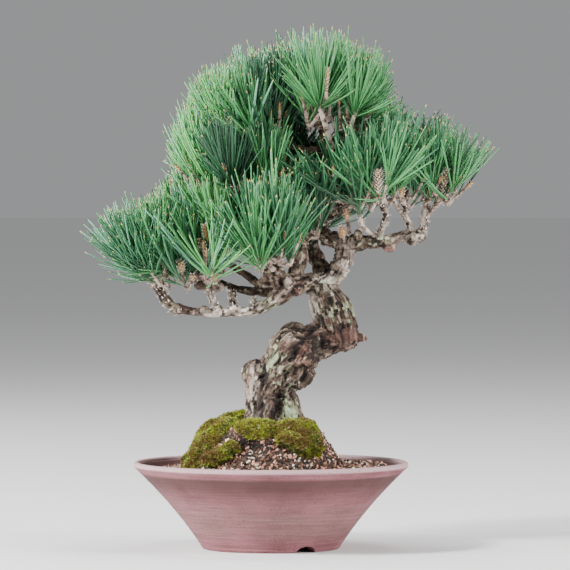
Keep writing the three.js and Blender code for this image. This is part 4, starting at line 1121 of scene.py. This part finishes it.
# Twigs fork in two until each carries one shoot. Every run is kept as its points and end radii.
def twigTo(start, shoots, radius, runs):
    if len(shoots) == 1:
        tip = shoots[0]
        bent = tip["start"] - twig["bend"] * tip["aim"]
        end = tip["start"] + tip["stalk"] * tip["aim"]
        runs.append(([start, bent, tip["start"], end], radius + twig["thicker"], twig["end"]))
        for side in tip["sides"]:
            low = start + twig["sideFrom"] * (bent - start)
            end = side["start"] + side["stalk"] * side["aim"]
            corners = [low, side["start"] - twig["sideBend"] * side["aim"], side["start"], end]
            runs.append((corners, twig["sideShare"] * radius, twig["sideEnd"]))
        return
    middle = sum(s["start"] for s in shoots) / len(shoots)
    ordered = sorted(shoots, key=lambda s: math.atan2(s["start"][1] - middle[1], s["start"][0] - middle[0]))
    end = start + twig["fork"] * (middle - start)
    thin = max(radius * twig["taper"], twig["thinnest"])
    runs.append(([start, end], radius, thin))
    half = math.ceil(len(ordered) / 2)
    twigTo(end, ordered[:half], thin, runs)
    twigTo(end, ordered[half:], thin, runs)


def sideShoots(tip, random):
    side = unit(np.cross(tip["aim"], [0.2, 1.0, 0.1]))
    other = np.cross(tip["aim"], side)
    turn = 2 * math.pi * random.random()
    made = []
    for k in range(shoot["sideShoots"]):
        angle = turn + k * 2 * math.pi / shoot["sideShoots"] + shoot["sideTurn"] * (random.random() - 0.5)
        out = math.cos(angle) * side + math.sin(angle) * other
        far = shoot["sideNear"] + shoot["sideVary"] * random.random()
        start = tip["start"] + shoot["sideStep"] * far * out
        start -= shoot["sideDrop"] * random.random() * tip["aim"]
        aim = unit(tip["aim"] + shoot["sideLean"] * out)
        made.append({"start": start, "aim": aim, "stalk": shoot["stalk"], "bud": None})
    return made


middles = {name: np.array(pad["at"]) + padRise * up for name, pad in pads.items()}


# How far points lie inside a pad's own space: a ball, cut off near halfway to each other pad.
def depthInside(name, places):
    own = middles[name]
    x, z = places[:, 0], places[:, 2]
    top, bottom = (np.interp(x, crown[:, 0], crown[:, k]) for k in (1, 2))
    depth = np.minimum(padReach - np.linalg.norm(places - own, axis=1), np.minimum(top - z, z - bottom))
    depth = np.minimum(depth, np.minimum(x - crown[0, 0], crown[-1, 0] - x))
    for other, middle in middles.items():
        if other != name:
            across = middle - own
            length = np.linalg.norm(across)
            depth = np.minimum(depth, length / 2 + needle["overlap"] - (places - own) @ across / length)
    return depth


# Straight tapering rods between the limbs' rows: x, y, z and radius of both ends.
def limbRods():
    limbs = [*trunkRuns, *roots, *boughs.values()]
    return np.array([np.hstack([a, b]) for rows in limbs for a, b in zip(rows, rows[1:])])


# How far places are from the nearest rod's surface.
def clearOf(rods, places):
    start, end = rods[:, :3], rods[:, 4:7]
    run = end - start
    t = np.clip(((places[:, None] - start) * run).sum(2) / (run ** 2).sum(1), 0, 1)
    away = np.linalg.norm(places[:, None] - start - t[..., None] * run, axis=2)
    return (away - rods[:, 3] - t * (rods[:, 7] - rods[:, 3])).min(1)


# Two needles that leave one sheath: three-sided blades that bend a little towards +Y, some with a dry tip.
def makeNeedlePair(random):
    points, faces, tips = [], [], []
    bend = pair["bend"] + pair["bendVary"] * random.random()
    for side in (-1, 1):
        opened = side * math.radians(pair["open"] + pair["openVary"] * random.random())
        bow = np.array([side * pair["apart"] + pair["sway"] * (random.random() - 0.5),
                        bend + pair["bow"] * (random.random() - 0.5), 0])
        length = needle["length"] * (pair["shortest"] + pair["lengthVary"] * random.random())
        phase = 2 * math.pi * random.random()
        first = len(points)
        way = np.array([math.sin(opened), 0, math.cos(opened)])
        for share, wide in pair["widths"]:
            for k in range(3):
                turn = phase + 2 * math.pi * k / 3
                around = needle["radius"] * wide * np.array([math.cos(turn), math.sin(turn), 0])
                points.append(way * length * share + bow * share ** 2 + around)
        points.append(way * length + bow)
        fresh = ringFaces(4, 3, closedTip=True, offset=first)
        if random.random() < pair["dry"]:
            tips += [len(faces) + i for i in (9, 10, 11)]
        faces += fresh
    return points, faces, tips


# A pointed scale that lies along a bud or twig, two millimetres long.
def makeScale(random):
    lift = 0.35 + 0.3 * random.random()
    points = [(-0.55, 0, 0), (0.55, 0, 0), (0.42, lift, 1.1), (-0.42, lift, 1.1), (0, lift + 0.45, 2.1),
              (0, -0.4, 0.2)]
    faces = [(0, 1, 2, 3), (3, 2, 4), (5, 0, 3), (5, 3, 4), (5, 4, 2), (5, 2, 1), (5, 1, 0)]
    return points, faces, (1, 3, 4)


needleColours = {  # the share of shoots in each green, on pads in the light and on those in the shade, where the darker greens are painted shade
    "bright": ("68b367", 0.15, 0.03), "fresh": ("4f9457", 0.25, 0.15), "silvery": ("6ca886", 0.18, 0.08),
    "deep": ("36714a", 0.28, 0.38), "dark": ("285437", 0.14, 0.36),
}
shadedPads = ["upper_inner", "mid_inner", "centre", "right_inner", "back_left", "back_right", "back_mid",
              "back_low"]
# Pads that face the stronger light deal out lighter greens, a painted light, and pads in softer light duller
# ones, a painted shade.
litPads = ["mid_left", "upper_left", "left_mid", "left_back", "apex"]
lit = {"dark": "silvery", "deep": "bright"}
softPads = ["front", "right_front", "right_mid", "right_inner", "right_end", "apex_right", "left_end"]
soft = {"bright": "fresh", "silvery": "deep"}
# How far the lowest needles of these pads open, in degrees.
droopingPads = {"left_end": 88, "right_inner": 86, "right_front": 86, "left_front": 74, "right_end": 70}
# On these pads the needles turn up by so much more, and forwards less.
risingPads = {"upper_left": 0.5, "mid_left": 0.5, "left_mid": 0.35, "mid_inner": 0.35, "centre": 0.3}
risingFlat = (1, 0.55, 1)
# The share of the usual pairs of needles on these pads.
sparsePads = {"right_end": 0.75, "right_mid": 0.75, "right_front": 0.85, "right_inner": 0.8, "left_end": 0.8}
budSettings = {
    "core": "bf935f", "scale": "fbefdf", "scaleTip": "ffffff", "brown": "8c6e62", "brownTip": "e2d2c6",
    "bracts": 14, "bractSize": 0.7, "bractRun": 15, "bractsBelow": 5,  # under each shoot's needles
    "bractOut": 1.15, "bractLean": 0.35,
    "scaleStep": 1.5, "twigScale": 0.62, "twigLean": 0.5, "sink": 0.92, "thirdMore": 0.4,  # along twigs
    "spurScale": 0.7, "spurLean": 0.28, "overBark": 1.0, "spurRounds": 4,  # along limbs
    "least": 12, "whiteCount": 1.5, "brownCount": 1.3, "whiteLean": 0.5, "brownLean": 0.34,  # on a bud
    "coreWide": 0.82, "scalesUpTo": 0.93, "scalesOut": 0.84, "budScale": 0.4, "budScaleMore": 0.3,
    # shares of a bud's length, and its width there when pointed or blunt
    "along": (0, 0.15, 0.4, 0.7, 0.9, 1.0), "pointed": (0.75, 0.95, 1.0, 0.8, 0.45, 0.08),
    "blunt": (0.4, 0.62, 0.88, 1.0, 0.85, 0.2),
}
scalyLimbs = ["spur_right_end", "spur_right_mid", "spur_right_front", "bough_right_inner", "spur_left",
              "bough_left_end", "link_left", "stub_left"]
# Buds that stand free of needles: where the twig starts, where the bud sits, its length and radius, and
# whether it is white.
bareBuds = [
    ((-60, -14, 184), (-61.4, -20, 191), 9, 2.8, True), ((-40, -8, 205), (-42.8, -13, 211), 15, 2.2, False),
    ((90, -7, 238), (89.7, -13, 243), 9, 2.4, True), ((51, -4, 212), (49.7, -10, 216), 8, 2.6, False),
    ((54, -6, 218), (52.5, -14, 228), 8, 2.2, False), ((62, -5, 218), (62, -12, 224), 6, 2.2, True),
    ((-38, -10, 182), (-38, -16, 186), 5, 1.8, False), ((-50, -12, 182), (-53, -18, 186), 5, 1.8, True),
]
# Single shoots that stand out: the pad they belong to, their twig, aim, stalk, pairs of needles and spread.
leaders = [
    {"pad": "apex", "twig": [(41, -5, 276), (38.5, -14, 289), (33.5, -20, 303)], "radius": 3.0,
     "aim": (0.05, -0.1, 1), "stalk": 9, "pairs": 70, "lowest": 68, "colour": "fresh"},
    {"pad": "apex_right", "twig": [(53, -2, 286), (55, -12, 291), (57, -16, 298)], "radius": 2.0,
     "aim": (0.5, -0.1, 1), "stalk": 9, "pairs": 34, "lowest": 62, "colour": "fresh"},
    {"pad": "right_mid", "twig": [(94.5, -6, 226), (89, -9, 233), (85, -12, 240)], "radius": 1.5,
     "aim": (-0.2, -0.1, 1), "stalk": 9, "pairs": 16, "lowest": 84, "colour": "deep"},
    {"pad": "right_end", "twig": [(105.6, -5, 227), (112, -8, 235), (119, -10, 241)], "radius": 1.6,
     "aim": (0.6, -0.1, 1), "stalk": 10, "pairs": 22, "lowest": 76, "colour": "fresh"},
    {"pad": "right_front", "twig": [(73, -6, 215), (66, -12, 220), (62, -15, 225)], "radius": 1.5,
     "aim": (-0.1, -0.3, 1), "stalk": 9, "pairs": 22, "lowest": 88, "colour": "deep"},
    {"pad": "left_end", "twig": [(-78, -8, 180), (-84, -12, 186), (-90, -14, 190)], "radius": 1.6,
     "aim": (-0.7, -0.1, 1), "stalk": 10, "pairs": 24, "lowest": 80, "colour": "silvery"},
]
# Gaps in the needles that show the limbs behind: x and z, low and high, and the y up to which needles are
# left out.
clearings = [
    (29, 45, 274, 303, -8), (23, 43, 192, 224, -3), (52, 64, 288, 302, -10), (-2, 78, 303, 350, -18),
    (14, 29, 272, 298, -5), (80, 96, 206, 236, -3), (98, 104, 220, 238, -3),
]


# Whether any of a needle's points lies in a clearing.
def throughClearing(places):
    passes = np.zeros(len(places), bool)
    for left, right, below, above, front in clearings:
        within = (places[..., 0] > left) & (places[..., 0] < right) & (places[..., 1] < front)
        passes |= (within & (places[..., 2] > below) & (places[..., 2] < above)).any(1)
    return passes


# Whether a side shoot, with its bud, would stand in a clearing.
def standsInClearing(tip):
    ends = np.linspace(tip["start"], tip["start"] + 1.6 * tip["stalk"] * tip["aim"], 5)
    return bool(throughClearing(ends[None])[0])


# Whether a needle's points pass in front of a bud that shows from the front.
def hidesBud(places, buds):
    hides = np.zeros(len(places), bool)
    for base, aim, (length, radius) in buds:
        x, y, z = base + 0.5 * length * aim
        near = np.abs(places[..., 0] - x) < radius + needle["offBuds"]
        near &= np.abs(places[..., 2] - z) < length / 2
        hides |= (near & (places[..., 1] < y)).any(1)
    return hides


# Lays out shoots and twigs, then each needle, which is kept only where it fits.
def makeFoliage():
    random = np.random.default_rng(11)
    rods = limbRods()
    needles = {colour: [] for colour in needleColours}
    runs, buds = [], []
    greens = list(needleColours)
    inLight, inShade = (np.cumsum([row[k] for row in needleColours.values()]) for k in (1, 2))
    tufts = []
    for i, (name, pad) in enumerate(pads.items()):
        shoots = shootsOf(pad, numberStream(101 + 17 * i))
        for tip in shoots:
            tip["sides"] = [side for side in sideShoots(tip, random) if not standsInClearing(side)]
        rows = trunkRuns[-1] if pad["on"] == "trunk" else boughs[pad["on"]]
        places, radii = limbPath(rows, 2.0)
        along = unit(places[-1] - places[-2])
        collar = places[-1] + twig["collar"] * along
        joint = [places[-1] - twig["collarFrom"] * along, places[-1], collar]
        runs.append((joint, min(radii[-1], twig["collarWidest"]) + twig["collarMore"], twig["stem"]))
        twigTo(collar, shoots, twig["stem"], runs)
        tufts += [(name, tip) for main in shoots for tip in (main, *main["sides"])]
    for leader in leaders:
        corners = [np.array(p, float) for p in leader["twig"]]
        aim = unit(np.array(leader["aim"], float))
        runs.append((corners, leader["radius"], twig["free"]))
        runs.append(([corners[-1], corners[-1] + leader["stalk"] * aim], twig["free"], twig["end"]))
        tufts.append((leader["pad"], {**leader, "start": corners[-1], "aim": aim, "bud": None}))
    for name, tip in tufts:
        size = tip["bud"] or (shoot["bud"], shoot["budRadius"])
        buds.append((tip["start"] + tip["stalk"] * tip["aim"], tip["aim"], size, tip["bud"] is not None))
    for start, base, length, radius, white in bareBuds:
        runs.append(([np.array(start, float), np.array(base, float)], twig["free"], twig["end"]))
        aim = unit(np.subtract(base, start) * (1, 1, 2))
        buds.append((np.array(base, float), aim, (length, radius), white))
    shown = [bud[:3] for bud in buds if bud[3] or bud[2][0] > shoot["bud"]]
    boxLow = fromFrame(np.min([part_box(node)[0] for node in needleNodes], axis=0)) - needle["past"]
    boxHigh = fromFrame(np.max([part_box(node)[1] for node in needleNodes], axis=0)) + needle["past"]
    for name, tip in tufts:
        dealt = inShade if name in shadedPads else inLight
        chosen = greens[int(np.searchsorted(dealt, random.random()))]
        turned = lit if name in litPads else soft if name in softPads else {}
        colour = tip.get("colour", turned.get(chosen, chosen))
        count = tip.get("pairs", round(needle["pairs"] * sparsePads.get(name, 1)))
        lowest = tip.get("lowest", droopingPads.get(name, needle["lowest"]))
        narrow = needle["narrowest"] + needle["narrowVary"] * random.random()
        short = needle["shortest"] + needle["shortVary"] * random.random()
        high = (np.arange(count) + random.random(count)) / count
        turn = np.arange(count) * golden + random.random() * needle["turnVary"]
        side = unit(np.cross(tip["aim"], [0.1, 1.0, 0.2]))
        other = np.cross(tip["aim"], side)
        out = np.cos(turn)[:, None] * side + np.sin(turn)[:, None] * other
        spread = lowest + (needle["highest"] - lowest) * high ** needle["openPower"]
        angle = np.radians(narrow * spread + needle["openVary"] * (random.random(count) - 0.5))
        away = np.cos(angle)[:, None] * tip["aim"] + np.sin(angle)[:, None] * out
        away += needle["sideways"] * (random.random((count, 1)) - 0.5) * np.cross(tip["aim"], out)
        if name in risingPads and "pairs" not in tip:
            away = away * risingFlat + risingPads[name] * up
        away /= np.linalg.norm(away, axis=1, keepdims=True)
        start = tip["start"] + (tip["stalk"] * high)[:, None] * tip["aim"]
        start = start + 0.8 * shoot["radius"] * out
        size = short * (1 + needle["vary"] * (2 * random.random(count) - 1))
        stray = needle["stray"] * random.random(count) ** needle["strayPower"] - needle["inside"]
        left = np.ones(count, bool)
        steps = np.linspace(0.15, 1, 8)
        for share in needle["shorter"]:
            ends = start + away * (needle["length"] * size * share)[:, None]
            places = start[:, None] + steps[None, :, None] * (ends - start)[:, None]
            flat = places.reshape(-1, 3)
            deep = depthInside(name, flat).reshape(count, -1).min(1)
            clear = clearOf(rods, flat).reshape(count, -1).min(1)
            within = ((places > boxLow) & (places < boxHigh)).all((1, 2))
            fits = (deep > -stray) & (clear > needle["offLimbs"]) & within & left
            left &= ~fits
            fits &= ~hidesBud(places, shown)
            if "pairs" not in tip:
                fits &= ~throughClearing(places)
            for k in np.flatnonzero(fits):
                needles[colour].append((start[k], away[k], size[k] * share))
    print("foliage laid out:", {k: len(v) for k, v in needles.items()}, "pairs of needles")
    stalks = [(tip["start"], tip["aim"]) for name, tip in tufts]
    return needles, runs, buds, stalks


# A run's points with radii that change evenly from end to end.
def rowsOf(run):
    corners, first, last = run
    return [(*p, first + (last - first) * k / (len(corners) - 1)) for k, p in enumerate(corners)]


def makeTwigs(runs):
    parts = []
    for i, run in enumerate(runs):
        places, radii = limbPath(rowsOf(run), 1.8)
        parts.append(tube(places, radii, sides=7, rough=0.35, seed=500 + i))
    points, faces = joinTubes(parts)
    piece = addObject("twigs", meshOf("twigs", toFrame(points), faces), twigBark())
    settle(piece, needleNodes)


# Buds are spindles wound with scales. Brown scales stand along the twigs, white and brown ones along some
# limbs, and bracts on each shoot under its needles.
def makeBuds(runs, buds, stalks):
    s = budSettings
    parts, white, brown = [], [], []
    along = np.array(s["along"])

    def around(aim):
        side = unit(np.cross(aim, [0.2, 1.0, 0.3]))
        other = np.cross(aim, side)
        return lambda k: math.cos(k * golden) * side + math.sin(k * golden) * other

    spurs = [[(*row[:3], row[3] + s["overBark"]) for row in boughs[name]] for name in scalyLimbs]
    for i, path in enumerate([rowsOf(run) for run in runs] + spurs * s["spurRounds"]):
        onSpur = i >= len(runs)
        size, lean = (s["spurScale"], s["spurLean"]) if onSpur else (s["twigScale"], s["twigLean"])
        places, radii = limbPath(path, s["scaleStep"])
        if len(places) < 3:
            continue
        ways, side, other = framesAlong(places)
        for k in range(len(places) - 1):
            turn = (len(brown) + len(white)) * golden
            out = math.cos(turn) * side[k] + math.sin(turn) * other[k]
            place, aim = places[k] + s["sink"] * radii[k] * out, unit(ways[k] + lean * out)
            row = (place, aim, out, size + s["thirdMore"] * (k % 3 == 0))
            (white if onSpur and (k + i) % 3 == 1 else brown).append(row)
    for i, (base, aim, (length, radius), isWhite) in enumerate(buds):
        swell = np.array(s["blunt"] if isWhite else s["pointed"])
        more, lean = (s["whiteCount"], s["whiteLean"]) if isWhite else (s["brownCount"], s["brownLean"])
        path = base + (along * length)[:, None] * aim
        parts.append(tube(path, radius * swell * s["coreWide"], sides=8, rough=0.05, seed=i))
        outward = around(aim)
        count = max(s["least"], int(length * radius * more))
        for k in range(count):
            share = (k + 0.5) / count * s["scalesUpTo"]
            wide = radius * np.interp(share, along, swell) * s["scalesOut"]
            place = base + share * length * aim + wide * outward(k)
            size = s["budScale"] + s["budScaleMore"] * radius
            row = (place, unit(aim + lean * outward(k)), outward(k), size)
            (white if isWhite else brown).append(row)
    for start, aim in stalks:
        outward = around(aim)
        for k in range(s["bracts"]):
            place = start + (s["bractRun"] * k / s["bracts"] - s["bractsBelow"]) * aim
            place = place + s["bractOut"] * outward(k)
            brown.append((place, unit(aim + s["bractLean"] * outward(k)), outward(k), s["bractSize"]))
    points, faces = joinTubes(parts)
    finish = plainFinish("bud core", s["core"], 0.7)
    settle(addObject("bud_cores", meshOf("bud_cores", toFrame(points), faces), finish), needleNodes)
    shapes = shapeSet("scale", 4, makeScale, smooth=False)
    for name, rows, code, tip in (("buds_white", white, "scale", "scaleTip"),
                                  ("buds_brown", brown, "brown", "brownTip")):
        aims = np.array([row[1] for row in rows])
        outs = np.array([row[2] for row in rows])
        plant(name, [row[0] for row in rows], aims, spinsFor(aims, outs), [row[3] for row in rows],
              np.arange(len(rows)) % 4, shapes, plainFinish(name + " scale", s[code], 0.6),
              plainFinish(name + " tip", s[tip], 0.6))


# The spin that turns a planted piece's +Y outwards, once its +Z follows the aim.
def spinsFor(aims, outs):
    spins = []
    for aim, out in zip(aims, outs):
        turn = Vector((0, 0, 1)).rotation_difference(Vector(aim))
        local = turn.inverted() @ Vector(out)
        spins.append(math.atan2(local.y, local.x) - math.pi / 2)
    return spins


# Each pair is turned so that its needles bend upwards, more or less.
def makeNeedles(needles):
    shapes = shapeSet("needlePair", pair["shapes"], makeNeedlePair)
    random = np.random.default_rng(5)
    dry = plainFinish("dry needle tip", "c0b070", 0.6)
    largest = needle["mostInPiece"]
    for colour, rows in needles.items():
        finish = plainFinish(f"{colour} needle", needleColours[colour][0], 0.36, coat=0.12)
        for part, first in enumerate(range(0, len(rows), largest)):
            share = rows[first:first + largest]
            aims = np.array([row[1] for row in share])
            lifts = up + 0.8 * (random.random((len(share), 3)) - 0.5)
            plant(f"needles_{colour}_{part + 1}", [row[0] for row in share], aims, spinsFor(aims, lifts),
                  [row[2] for row in share], random.integers(0, pair["shapes"], len(share)), shapes,
                  finish, dry)


setStage()
planting = plantingTree()
makePot()
makeGround()
makeBark()
needles, runs, buds, stalks = makeFoliage()
makeTwigs(runs)
makeBuds(runs, buds, stalks)
makeNeedles(needles)
